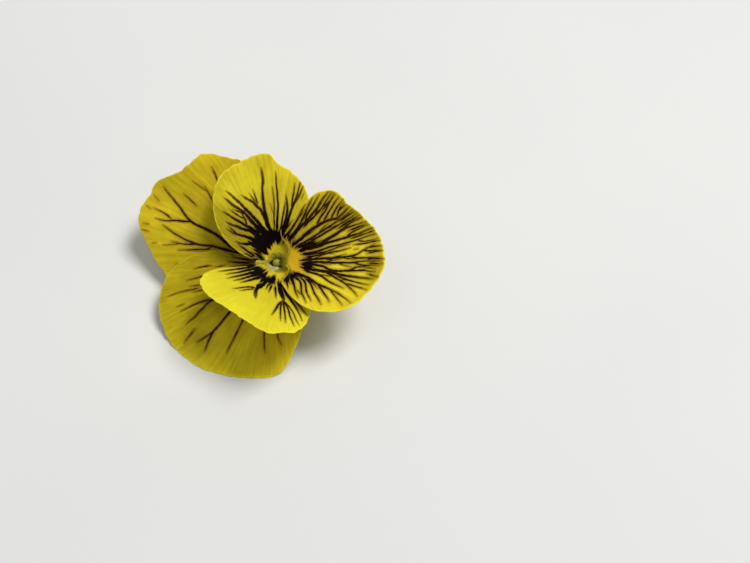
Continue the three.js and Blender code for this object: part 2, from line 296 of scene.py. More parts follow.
def sheet_quads(index: Points, flipped: bool = False) -> Points:
    """Quads between the points of a grid of vertex indices.

    Args:
        index: The grid.
        flipped: Whether they face the other way.

    Returns:
        Four indices for each quad.
    """
    a, b, c, d = index[:-1, :-1], index[1:, :-1], index[1:, 1:], index[:-1, 1:]
    corners = (a, d, c, b) if flipped else (a, b, c, d)
    return np.stack([corner.ravel() for corner in corners], 1)


def closed_sheet(name: str, front: Points, back: Points) -> Object:
    """Object with a front and a back skin that meet in the front's outer rows and columns.

    Args:
        name: Name of the object.
        front: Grid of points of the front skin.
        back: Grid of points of the back skin.

    Returns:
        The object.
    """
    index = np.arange(front[..., 0].size).reshape(front.shape[:2])
    behind = index.copy()
    inner = behind[CORE]
    inner[...] = index.size + np.arange(inner.size).reshape(inner.shape)
    points = np.vstack([front.reshape(-1, 3), back[CORE].reshape(-1, 3)])
    return mesh_object(name, points, np.vstack([sheet_quads(index), sheet_quads(behind, flipped=True)]))


def both_skins(values: Points) -> Points:
    """Numbers of a sheet's grid as numbers for the points of its front and its back."""
    return np.concatenate([values.ravel(), values[CORE].ravel()])


def rounded_edge(share: Points, least: float = 0) -> Points:
    """Height of a quarter circle, from 0 at share 0 to 1 at share 1, with its square at least a number."""
    return np.sqrt(np.clip(1 - (1 - np.clip(share, 0, 1)) ** 2, least, 1))


def rounded_outline(corners: Sequence[Place], count: int, closed: bool = False) -> tuple[Points, ...]:
    """Evenly spaced points of an outline with its corners eased.

    Args:
        corners: The corners as (radius, height).
        count: How many points.
        closed: Whether it ends where it starts, and so leaves out its last point.

    Returns:
        Lengths along the outline, radii, and heights.
    """
    runs = np.array(corners, float)
    knots = np.concatenate([[0], np.cumsum(np.linalg.norm(np.diff(runs, axis=0), axis=1))])
    t = np.linspace(0, knots[-1], count, endpoint=not closed)
    outline = np.stack([np.interp(t, knots, run) for run in runs.T])
    for _ in range(2):
        eased = (np.roll(outline, 1, 1) + np.roll(outline, -1, 1)) / 4 + outline / 2
        if not closed:
            eased[:, [0, -1]] = outline[:, [0, -1]]
        outline = eased
    return t, *outline


def ring_shares(sides: int) -> Points:
    """Shares of a turn at the points of a ring."""
    return np.arange(sides) / sides


def ring_angles(sides: int) -> Points:
    """Angles of the points of a ring, in radians."""
    return ring_shares(sides) * TURN


def tube(rings: Sequence[Points]) -> tuple[Points, Faces]:
    """Skin over rings of points, closed by a point at the middle of each end.

    Args:
        rings: Rings with the same number of points, in the order that the surface runs.

    Returns:
        Points and faces.
    """
    sides = len(rings[0])
    last = (len(rings) - 1) * sides
    points = np.vstack([*rings, rings[0].mean(0), rings[-1].mean(0)])
    faces = []
    for k in range(sides):
        n = (k + 1) % sides
        faces += [(r + k, r + n, r + sides + n, r + sides + k) for r in range(0, last, sides)]
        faces += [(len(points) - 2, n, k), (len(points) - 1, last + k, last + n)]
    return points, faces


def for_rings(values: Sequence[float], sides: int, ends: Place = (0, 0)) -> Points:
    """One number for each ring of a tube, and one for each end, as numbers for its points."""
    return np.append(np.repeat(values, sides), ends)


def for_sides(values: Points, rings: int) -> Points:
    """One number for each place round a tube as numbers for its points, 0 at its ends."""
    return np.append(np.tile(values, rings), [0, 0])


class Line:
    """Smooth line through points, measured along its length."""

    SAMPLES = 40
    NEAR = 0.05
    SIDEWAYS = (0.0, 1.0, 0.0)

    def __init__(self, places: Sequence[Spot]) -> None:
        """Samples the line between its places.

        Args:
            places: Points that the line runs through.
        """
        p = np.array(places, float)
        p = np.vstack([2 * p[0] - p[1], p, 2 * p[-1] - p[-2]])
        u = np.linspace(0, 1, self.SAMPLES, endpoint=False)[:, None]
        runs = []
        for a, b, c, d in zip(p, p[1:], p[2:], p[3:]):
            square, cube = 2 * a - 5 * b + 4 * c - d, 3 * b - a - 3 * c + d
            runs.append(0.5 * (2 * b + (c - a) * u + square * u**2 + cube * u**3))
        self.points = np.vstack([*runs, p[-2]])
        steps = np.linalg.norm(np.diff(self.points, axis=0), axis=1)
        self.lengths = np.concatenate([[0], np.cumsum(steps)])
        self.total = self.lengths[-1]

    def at(self, length: float) -> Points:
        """Point at a length along the line."""
        return np.array([np.interp(length, self.lengths, self.points[:, k]) for k in range(3)])

    def frames(self, lengths: Sequence[float]) -> list[tuple[Points, Points, Points]]:
        """Point and two cross directions at each length, without twist.

        Args:
            lengths: Lengths along the line.

        Returns:
            A point and two directions for each length.
        """
        made = []
        normal = np.array(self.SIDEWAYS)
        for length in lengths:
            reach = np.clip([length - self.NEAR, length + self.NEAR], 0, self.total)
            tangent = unit(self.at(reach[1]) - self.at(reach[0]))
            normal = unit(normal - normal @ tangent * tangent)
            made.append((self.at(np.clip(length, 0, self.total)), normal, np.cross(tangent, normal)))
        return made


def bar(line: Line, profile: Sequence[Place], sides: int,
        shape: Callable[[Points, float], Points] | None = None) -> tuple[Points, Faces]:
    """Closed bar along a line, drawn out to a point at each end.

    Args:
        line: Middle line.
        profile: (length, radius) of each ring, in the order that the surface runs.
        sides: Points round a ring.
        shape: Factor on the radius for the angles of a ring at a length.

    Returns:
        Points and faces.
    """
    angles = ring_angles(sides)
    frames = line.frames([length for length, _ in profile])
    rings = []
    for (length, radius), (centre, normal, across) in zip(profile, frames):
        girth = radius * (shape(angles, length) if shape else np.ones(sides))
        around = np.cos(angles)[:, None] * normal + np.sin(angles)[:, None] * across
        rings.append(centre + girth[:, None] * around)
    return tube(rings)


# Node trees


class Nodes:
    """A node tree that is filled node by node."""

    def __init__(self, tree: Tree) -> None:
        """Wraps the tree."""
        self.tree = tree

    def node(self, kind: str, settings: dict[str, Any] | None = None,
             sockets: dict[Any, Any] | None = None) -> Node:
        """Adds a node.

        Args:
            kind: The node's type.
            settings: Its properties, set first; "stops" are a ramp's stops as (share, colour).
            sockets: Values or links for its inputs, by name or index.

        Returns:
            The node.
        """
        made = self.tree.nodes.new(kind)
        for key, value in (settings or {}).items():
            if key == "stops":
                self.set_stops(made.color_ramp.elements, value)
            else:
                setattr(made, key, value)
        for key, value in (sockets or {}).items():
            self.feed(made.inputs[key], value)
        return made

    @staticmethod
    def set_stops(elements: bpy.types.ColorRampElements, stops: Sequence[tuple[float, Colour]]) -> None:
        """Gives a ramp its stops.

        Args:
            elements: The ramp's elements.
            stops: (share, colour) of each stop.
        """
        while len(elements) < len(stops):
            elements.new(0.5)
        for element, (share, colour) in zip(elements, stops):
            element.position = share
            element.color = (*colour, 1)

    def feed(self, socket: Socket, value: Any) -> None:
        """Links or sets one input.

        Args:
            socket: The input.
            value: A number or socket to link, or a plain value.
        """
        if isinstance(value, Number):
            value = value.socket
        if isinstance(value, Socket):
            self.tree.links.new(value, socket)
        elif isinstance(value, tuple) and socket.type == "RGBA":
            socket.default_value = (*value, 1)
        else:
            socket.default_value = value


class Number:
    """A number that varies over a surface. Operators on it add Math nodes."""

    def __init__(self, nodes: Nodes, socket: Socket) -> None:
        """Wraps an output socket."""
        self.nodes = nodes
        self.socket = socket

    def combined(self, operation: str, first: Any, second: Any) -> "Number":
        """Result of a Math node."""
        node = self.nodes.node("ShaderNodeMath", {"operation": operation}, {0: first, 1: second})
        return Number(self.nodes, node.outputs[0])

    def __add__(self, other: Any) -> "Number":
        """Sum."""
        return self.combined("ADD", self, other)

    __radd__ = __add__

    def __sub__(self, other: Any) -> "Number":
        """Difference."""
        return self.combined("SUBTRACT", self, other)

    def __rsub__(self, other: Any) -> "Number":
        """Difference the other way round."""
        return self.combined("SUBTRACT", other, self)

    def __mul__(self, other: Any) -> "Number":
        """Product."""
        return self.combined("MULTIPLY", self, other)

    __rmul__ = __mul__

    def rise(self, low: float, high: float) -> "Number":
        """0 below low and 1 above high, smooth between; low may be the greater.

        Args:
            low: Where it leaves 0.
            high: Where it reaches 1.

        Returns:
            The result.
        """
        node = self.nodes.node(
            "ShaderNodeMapRange",
            {"interpolation_type": "SMOOTHSTEP", "clamp": True},
            {"Value": self, "From Min": low, "From Max": high},
        )
        return Number(self.nodes, node.outputs["Result"])


class Recipe(Nodes):
    """Node tree of one material."""

    def __init__(self, name: str) -> None:
        """Starts a material with an empty shader.

        Args:
            name: Name of the material.
        """
        self.material = bpy.data.materials.new(name)
        self.material.use_nodes = True
        super().__init__(self.material.node_tree)
        self.shader = self.tree.nodes["Principled BSDF"]

    def value_of(self, name: str) -> Number:
        """One of the mesh's own numbers."""
        return Number(self, self.node("ShaderNodeAttribute", {"attribute_name": name}).outputs["Fac"])

    def growth(self) -> tuple[Number, Number]:
        """The UV map's two numbers: across and along.

        Returns:
            The numbers across and along.
        """
        uv = self.node("ShaderNodeUVMap", {"uv_map": "growth"}).outputs[0]
        split = self.node("ShaderNodeSeparateXYZ", None, {0: uv})
        return Number(self, split.outputs[0]), Number(self, split.outputs[1])

    def place(self) -> Socket:
        """Object coordinates."""
        return self.node("ShaderNodeTexCoord").outputs["Object"]

    def vector(self, x: Number, y: Number) -> Socket:
        """Vector from two numbers."""
        return self.node("ShaderNodeCombineXYZ", None, {0: x, 1: y}).outputs[0]

    def noise(self, vector: Socket, scale: float, detail: float = 3, roughness: float = 0.5) -> Number:
        """Noise of about 0 to 1."""
        sockets = {"Vector": vector, "Scale": scale, "Detail": detail, "Roughness": roughness}
        return Number(self, self.node("ShaderNodeTexNoise", None, sockets).outputs[0])

    def cells(self, vector: Socket, scale: float) -> Number:
        """Distance to the middle of the nearest cell."""
        sockets = {"Vector": vector, "Scale": scale}
        return Number(self, self.node("ShaderNodeTexVoronoi", None, sockets).outputs[0])

    def mix(self, share: Number, low: Any, high: Any) -> Socket:
        """Colour between two colours."""
        return self.node("ShaderNodeMix", {"data_type": "RGBA"}, {0: share, 6: low, 7: high}).outputs[2]

    def bump(self, height: Number, depth: float, strength: float) -> None:
        """Gives the shader a relief of a depth in millimetres."""
        sockets = {"Height": height, "Distance": depth * MM, "Strength": strength}
        self.feed(self.shader.inputs["Normal"], self.node("ShaderNodeBump", None, sockets).outputs[0])

    def paint(self, **sockets: Any) -> Material:
        """Feeds the shader's sockets, by name with spaces as underscores, and gives the material.

        Args:
            sockets: Values or links.

        Returns:
            The material.
        """
        for name, value in sockets.items():
            self.feed(self.shader.inputs[name.replace("_", " ")], value)
        return self.material


# Finishes


@dataclass(frozen=True)
class Finish:
    """A finish that makes its material once."""

    name: str

    @cache
    def material(self) -> Material:
        """The material, made when it is first asked for."""
        return self.mixed(Recipe(self.name))

    def mixed(self, recipe: Recipe) -> Material:
        """Fills the recipe and gives its material."""
        raise NotImplementedError


@dataclass(frozen=True)
class PetalFinish(Finish):
    """Velvety yellow petal with dark veins, an orange-yellow eye and a green throat.

    Lengths are in millimetres from the petal's foot. A range from high to low falls instead of rising. Its
    yellow also carries painted shade, darker towards the foot and, where given, on one side and at the far
    end, and a pale margin that is partly painted highlight.
    """

    light: Colour
    deep: Colour
    eye: Colour
    eye_to: float
    throat_to: float
    throat: Colour = (0.27, 0.27, 0.02)
    ink: Colour = (0.004, 0.0012, 0.0012)
    outer_ink: Colour = (0.026, 0.008, 0.0006)
    stain: Colour = (0.13, 0.055, 0.004)
    behind: Colour = (0.62, 0.56, 0.09)
    stain_width: float = 0.42
    # Length from which the yellow darkens towards the foot: partly a deeper tone near the eye, partly painted
    # shade near the centre under the overlapping petals
    deep_and_shaded_to: float = 23
    # Range of lengths over which the far end is painted darker: painted shade where the lip's end turns away
    # from the light
    rim: Place | None = None
    # Range across the petal over which it is painted darker: painted shade on the side that faces away from
    # the light
    shaded_side: Place | None = None
    warm: Colour = (0.6, 0.4, 0.012)
    warmth: float = 0.2
    # How far the margin is paled towards the light yellow: partly the thin margin's own paler colour, partly
    # painted highlight
    pale_rim_and_highlight: float = 0.8
    # Dusky brownish patch near the foot as (amount, reach, across from, across to): partly the petal's own
    # brown tint, partly painted shade beside the overlapping petal
    dusky_tint_and_shade: tuple[float, float, float, float] | None = None

    DEEP_AND_SHADED_FROM = 9
    RIM_WIDTH = (0.5, 0.1)
    RIM_FROM = (9, 13)
    OUTER_INK_FROM = (11, 18)
    EDGE_BLUR = 0.07
    EYE_OUT, EYE_IN = 1.6, 1.2
    THROAT_OUT, THROAT_IN = 1.5, 1.0
    FADING = (0.6, 1.05)

    def mixed(self, recipe: Recipe) -> Material:
        """Fills the recipe and gives its material.

        Args:
            recipe: An empty recipe.

        Returns:
            The material.
        """
        across, along = recipe.growth()
        length = along * UV_UNIT
        place = recipe.place()
        vein = recipe.value_of("vein")
        streaks = recipe.noise(recipe.vector(across * 3.2, along * 0.5), 2.4, 4, 0.6)
        fine = recipe.noise(recipe.vector(across * 14, along * 1.1), 2.2, 2, 0.6)
        blotches = recipe.noise(place, 190, 3, 0.55)
        tone = (streaks * 0.5 + fine * 0.22 + blotches * 0.42).rise(0.36, 0.78)
        # Darker towards the foot: partly deeper tone, partly painted shade near the centre
        depth = tone * 0.55 + length.rise(self.deep_and_shaded_to, self.DEEP_AND_SHADED_FROM) * 0.45
        # Painted shade at the far end
        if self.rim:
            depth = depth + length.rise(*self.rim) * 0.5
        # Painted shade towards one side
        if self.shaded_side:
            depth = depth + across.rise(*self.shaded_side) * 0.45
        yellow = recipe.mix(depth, self.light, self.deep)
        near = vein.rise(1.5, 0.1) * blotches.rise(0.3, 0.65) * self.warmth
        yellow = recipe.mix(near, yellow, self.warm)
        # Paler margin: partly its own colour, partly painted highlight
        pale_rim_and_highlight_mask = recipe.value_of("edge").rise(*self.RIM_WIDTH) * length.rise(*self.RIM_FROM)
        yellow = recipe.mix(pale_rim_and_highlight_mask * self.pale_rim_and_highlight, yellow, self.light)
        in_eye = length.rise(self.eye_to + self.EYE_OUT, self.eye_to - self.EYE_IN)
        in_throat = length.rise(self.throat_to + self.THROAT_OUT, self.throat_to - self.THROAT_IN)
        yellow = recipe.mix(in_throat, recipe.mix(in_eye, yellow, self.eye), self.throat)
        # Dusky patch: partly brown tint, partly painted shade beside the overlapping petal
        if self.dusky_tint_and_shade:
            amount, reach, low, high = self.dusky_tint_and_shade
            dusky_tint_and_shade = length.rise(reach, reach * 0.45) * across.rise(low, high) * amount
            yellow = recipe.mix(dusky_tint_and_shade * streaks.rise(0.25, 0.6), yellow, self.stain)
        distance = vein + (recipe.noise(place, 2600, 2) - 0.5) * self.EDGE_BLUR
        stained = recipe.mix(distance.rise(self.stain_width, -0.05) * 0.62, yellow, self.stain)
        faded = 1 - recipe.value_of("age").rise(*self.FADING) * 0.4
        ink = recipe.mix(length.rise(*self.OUTER_INK_FROM), self.ink, self.outer_ink)
        inked = recipe.mix(distance.rise(0.07, -0.05) * faded, stained, ink)
        behind = recipe.mix(tone * 0.6, self.behind, self.deep)
        behind = recipe.mix(distance.rise(0.25, -0.1) * 0.45, behind, self.stain)
        front = recipe.value_of("front").rise(0.2, 0.8)
        recipe.bump(recipe.cells(place, 7000) * 0.7 + fine * 1.6, 0.02, 0.55)
        return recipe.paint(
            Base_Color=recipe.mix(front, behind, inked),
            Roughness=0.5 + fine * 0.16 - distance.rise(0.05, -0.05) * 0.08,
            Specular_IOR_Level=0.03,
            Subsurface_Weight=0.8,
            Subsurface_Radius=(1.0, 0.8, 0.08),
            Subsurface_Scale=0.45 * MM,
        )


@dataclass(frozen=True)
class GreenFinish(Finish):
    """Living green skin, paler where the mesh's vein value is low."""

    light: Colour
    deep: Colour
    pale: Colour

    def mixed(self, recipe: Recipe) -> Material:
        """Fills the recipe and gives its material.

        Args:
            recipe: An empty recipe.

        Returns:
            The material.
        """
        across, along = recipe.growth()
        place = recipe.place()
        mottle = recipe.noise(place, 700, 4, 0.6)
        fibres = recipe.noise(recipe.vector(across * 9, along * 1.4), 3, 3, 0.6)
        green = recipe.mix((mottle * 0.6 + fibres * 0.4).rise(0.35, 0.65), self.light, self.deep)
        green = recipe.mix(recipe.value_of("vein").rise(0.16, -0.02) * 0.75, green, self.pale)
        recipe.bump(fibres * 1.2 + recipe.cells(place, 5200) * 0.5, 0.03, 0.6)
        return recipe.paint(
            Base_Color=green,
            Roughness=0.5 + mottle * 0.15,
            Subsurface_Weight=0.1,
            Subsurface_Radius=(0.5, 1.0, 0.2),
            Subsurface_Scale=0.6 * MM,
        )


@dataclass(frozen=True)
class WaxyFinish(Finish):
    """Soft inner flower tissue whose colour runs along it, through stops of (share, colour)."""

    stops: tuple[tuple[float, Colour], ...]
    roughness: float = 0.35

    def mixed(self, recipe: Recipe) -> Material:
        """Fills the recipe and gives its material.

        Args:
            recipe: An empty recipe.

        Returns:
            The material.
        """
        _, along = recipe.growth()
        place = recipe.place()
        grain = recipe.noise(place, 1500, 4, 0.6)
        share = along + (grain - 0.5) * 0.12
        ramp = recipe.node("ShaderNodeValToRGB", {"stops": self.stops}, {0: share})
        recipe.bump(recipe.cells(place, 6500) + grain, 0.02, 0.5)
        return recipe.paint(
            Base_Color=ramp.outputs[0],
            Roughness=self.roughness + grain * 0.2,
            Subsurface_Weight=0.15,
            Subsurface_Radius=(1.0, 0.8, 0.3),
            Subsurface_Scale=0.5 * MM,
        )


@dataclass(frozen=True)
class HairFinish(Finish):
    """Fine glassy hairs."""

    root: Colour
    tip: Colour

    def mixed(self, recipe: Recipe) -> Material:
        """Fills the recipe and gives its material.

        Args:
            recipe: An empty recipe.

        Returns:
            The material.
        """
        grain = recipe.noise(recipe.place(), 900, 2)
        colour = recipe.mix(grain.rise(0.35, 0.65), self.root, self.tip)
        return recipe.paint(Base_Color=colour, Roughness=0.5 + grain * 0.1, Specular_IOR_Level=0.1)


@dataclass(frozen=True)
class PaperFinish(Finish):
    """Plain pale surface with a faint tooth."""

    colour: Colour
    shade: Colour

    def mixed(self, recipe: Recipe) -> Material:
        """Fills the recipe and gives its material.

        Args:
            recipe: An empty recipe.

        Returns:
            The material.
        """
        place = recipe.place()
        recipe.bump(recipe.noise(place, 1800, 4, 0.6), 0.02, 0.2)
        clouds = recipe.noise(place, 9, 2).rise(0.3, 0.7)
        return recipe.paint(Base_Color=recipe.mix(clouds, self.colour, self.shade), Roughness=0.75)


SIDE_YELLOW = PetalFinish(
    "side_petal_yellow", light=(0.8, 0.72, 0.034), deep=(0.55, 0.445, 0.014),
    eye=(0.66, 0.52, 0.02), eye_to=8.0, throat_to=4.4)
# Darker copy of the side petals' yellow for the right side petal: partly its own deeper tone, partly painted
# shade towards its foot and on the side that faces away from the light
DEEPER_AND_SHADED_YELLOW = replace(
    SIDE_YELLOW, name="right_side_petal_yellow", light=(0.82, 0.7, 0.03), deep=(0.35, 0.275, 0.009),
    shaded_side=(0, 4), stain_width=0.3)
# The lip's yellow is painted darker at its far end and over its upper half, as painted shade
LIP_YELLOW = PetalFinish(
    "lip_petal_yellow", light=(0.95, 0.81, 0.042), deep=(0.54, 0.41, 0.01),
    eye=(0.68, 0.44, 0.015), eye_to=12, throat_to=7.6, rim=(24.5, 29), shaded_side=(0.4, 3.6), stain_width=0.5)
# The upper petals' yellow is darker than the side petals': partly their own duller tone, partly painted
# shade, with the darkening towards the foot stretched over most of the petal
BACK_YELLOW = PetalFinish(
    "upper_petal_yellow", light=(0.74, 0.595, 0.022), deep=(0.37, 0.285, 0.006),
    eye=(0.5, 0.43, 0.02), eye_to=7, throat_to=4.5, behind=(0.5, 0.46, 0.07),
    dusky_tint_and_shade=(0.85, 19, -0.6, 1.2), deep_and_shaded_to=33, warmth=0.5, pale_rim_and_highlight=0.35)
# Lighter copy for the upper left petal: painted lighter where more light falls on it, with painted shade on
# its left side
LEFT_BACK_YELLOW = replace(
    BACK_YELLOW, name="upper_left_petal_yellow", light=(0.92, 0.76, 0.03), deep=(0.4, 0.315, 0.007),
    dusky_tint_and_shade=(0.7, 17, -3.8, -5.4), shaded_side=(1, -4))
SEPAL_GREEN = GreenFinish(
    "sepal_green", light=(0.16, 0.27, 0.045), deep=(0.09, 0.18, 0.025), pale=(0.33, 0.42, 0.13))
STALK_GREEN = GreenFinish(
    "stalk_green", light=(0.22, 0.32, 0.07), deep=(0.14, 0.23, 0.04), pale=(0.42, 0.5, 0.2))
# The dark stop at 0.62 darkens the narrow neck of the style, and Pistil.build moves the stigma's hollow onto
# it: painted shade in the hollow
PISTIL_GREEN = WaxyFinish("pistil_green", stops=(
    (0, (0.2, 0.33, 0.05)), (0.35, (0.26, 0.36, 0.06)), (0.62, (0.17, 0.2, 0.012)),
    (0.8, (0.24, 0.26, 0.018)), (1, (0.3, 0.3, 0.03))))
ANTHER_CREAM = WaxyFinish("anther_cream_and_orange", roughness=0.45, stops=(
    (0, (0.55, 0.58, 0.3)), (0.55, (0.72, 0.66, 0.3)), (0.74, (0.42, 0.33, 0.05)), (1, (0.3, 0.2, 0.015))))
BEARD = HairFinish("beard_hairs", root=(0.8, 0.76, 0.3), tip=(0.95, 0.93, 0.66))
YELLOW_BEARD = HairFinish("yellow_beard_hairs", root=(0.62, 0.55, 0.03), tip=(0.74, 0.66, 0.09))
THROAT_BEARD = HairFinish("throat_hairs", root=(0.25, 0.26, 0.008), tip=(0.4, 0.36, 0.012))
DOWN = HairFinish("downy_hairs", root=(0.5, 0.55, 0.3), tip=(0.75, 0.78, 0.6))
PAPER = PaperFinish("white_surface", colour=(0.8, 0.8, 0.785), shade=(0.775, 0.775, 0.765))


# Petals


@dataclass
class Spur:
    """The lip's hollow nectar spur."""

    places: tuple[Spot, ...] = ((3.5, 0, -5.9), (3.6, 0, -7.4), (4.2, 0, -9.6), (5.0, 0, -12.2))
    radius: float = 1.6
    tip_radius: float = 1.33
    wall: float = 0.35
    mouth_at: float = 0.4
    sides: int = 40
    ribs: int = 9
    rib_depth: float = 0.018

    def profile(self, total: float, inset: float) -> list[Place]:
        """(length, radius) from the mouth to the rounded tip, inset into the wall or not.

        Args:
            total: Length of the spur.
            inset: How far the skin lies within the outer one.

        Returns:
            (length, radius) of each ring.
        """
        tip = total - inset
        radius = self.tip_radius - inset
        straight = np.linspace(self.mouth_at, tip - radius, 16)
        share = smooth((straight - self.mouth_at) / (total - self.mouth_at))
        radii = self.radius * (1 - share) + self.tip_radius * share - inset
        rounding = np.radians(np.linspace(8, 89, 11))
        round_tip = zip(tip - radius + radius * np.sin(rounding), radius * np.cos(rounding))
        return [*zip(straight, radii), *round_tip]

    def build(self) -> Object:
        """Makes the spur with its inner and outer skin.

        Returns:
            The object.
        """
        line = Line(self.places)
        inner = self.profile(line.total, self.wall)[::-1]
        profile = inner + self.profile(line.total, 0)
        points, faces = bar(line, profile, self.sides, self.ribbed)
        piece = mesh_object("spur", above_ground(BLOOM.to_part(points)), faces)
        inside = for_rings(np.arange(len(profile)) < len(inner), self.sides, (1, 0))
        along = for_rings([length for length, _ in profile], self.sides, (line.total, line.total))
        around = for_sides(ring_shares(self.sides), len(profile))
        add_values(piece, "front", np.zeros(len(points)))
        add_values(piece, "vein", 0.12 + 1.2 * np.abs(np.sin(around * np.pi * self.ribs)) + inside)
        add_values(piece, "age", np.zeros(len(points)))
        add_values(piece, "edge", np.ones(len(points)))
        add_uv(piece, around * 6, (along + 8) / UV_UNIT)
        return piece

    def ribbed(self, angles: Points, length: float) -> Points:
        """Faint ribs that fade towards the tip."""
        return 1 - self.rib_depth * (1 + np.sin(self.ribs * angles)) * np.clip(1.2 - length / 7, 0, 1)


@dataclass(frozen=True)
class Claw:
    """The narrow foot of a petal."""

    foot: float
    lean: float
    half_width: float


@dataclass(frozen=True)
class Vein:
    """One dark vein: its greatest width and its places from root to tip, as (length, side)."""

    width: float
    places: tuple[Place, ...]
    fades: bool = True


def vein(width: float, *places: Place) -> Vein:
    """Short form of a vein."""
    return Vein(width, places)


@dataclass(frozen=True)
class Roots:
    """A fan of thick, pointed vein roots that run together into a dark patch beside the eye."""

    sides: Place
    start: Place
    end: Place
    count: int
    width: float

    START_SPREAD = (-0.6, 0.9)
    END_SPREAD = (-0.7, 0.7)
    WIDTHS = (0.8, 1.15)

    def veins(self, seed: int) -> list[Vein]:
        """The roots as short veins, seeded.

        Args:
            seed: Seed of the petal.

        Returns:
            The veins.
        """
        rng = np.random.default_rng(seed + self.count)
        made = []
        for share in (np.arange(self.count) + 0.5) / self.count:
            side = between(self.sides, share)
            start = between(self.start, share) + rng.uniform(*self.START_SPREAD)
            end = between(self.end, share) + rng.uniform(*self.END_SPREAD)
            places = ((start, side), ((start + end) / 2, side), (end, side))
            made.append(Vein(self.width * rng.uniform(*self.WIDTHS), places, fades=False))
        return made


@dataclass(frozen=True)
class Pen:
    """How a vein is drawn: its width is pointed at both ends and swells in the dark patch beside the eye."""

    step: float = 0.09
    side_scale: float = 12
    wobble: float = 0.022
    root_point: float = 1.1
    tip_point: float = 1.2
    least: float = 0.12
    taper: float = 0.5
    swell: float = 0.35
    swell_at: float = 10.5
    swell_over: float = 2.2
    patchy: float = 0.1

    def half_widths(self, width: float, total: float, share: Points, lengths: Points) -> Points:
        """Half the width along a vein.

        Args:
            width: The vein's greatest width.
            total: Its length.
            share: Shares of its length.
            lengths: Lengths along the petal at those shares.

        Returns:
            Half the width at each share.
        """
        pointed = np.clip(share * total / self.root_point, self.least, 1)
        taper = 1 - self.taper * share**1.3
        tip = np.clip((1 - share) * total / self.tip_point, self.least, 1) ** 0.7
        swell = 1 + self.swell * np.exp(-(((lengths - self.swell_at) / self.swell_over) ** 2))
        return width / 2 * pointed * taper * tip * swell


@dataclass(frozen=True)
class Branching:
    """Ranges for the fine side branches of a petal's drawn veins."""

    first: Place = (2.5, 4)
    gap: Place = (1.6, 3.2)
    swing: Place = (9, 17)
    reach: Place = (2.4, 4.6)
    width: float = 0.45
    kink: float = 0.45
    straighten: float = 0.8
    margin: float = 1


PEN = Pen()
BRANCHING = Branching()
CLAW = Claw(foot=2.6, lean=98, half_width=34.5)
LIP_CLAW = Claw(foot=4.9, lean=119, half_width=33)


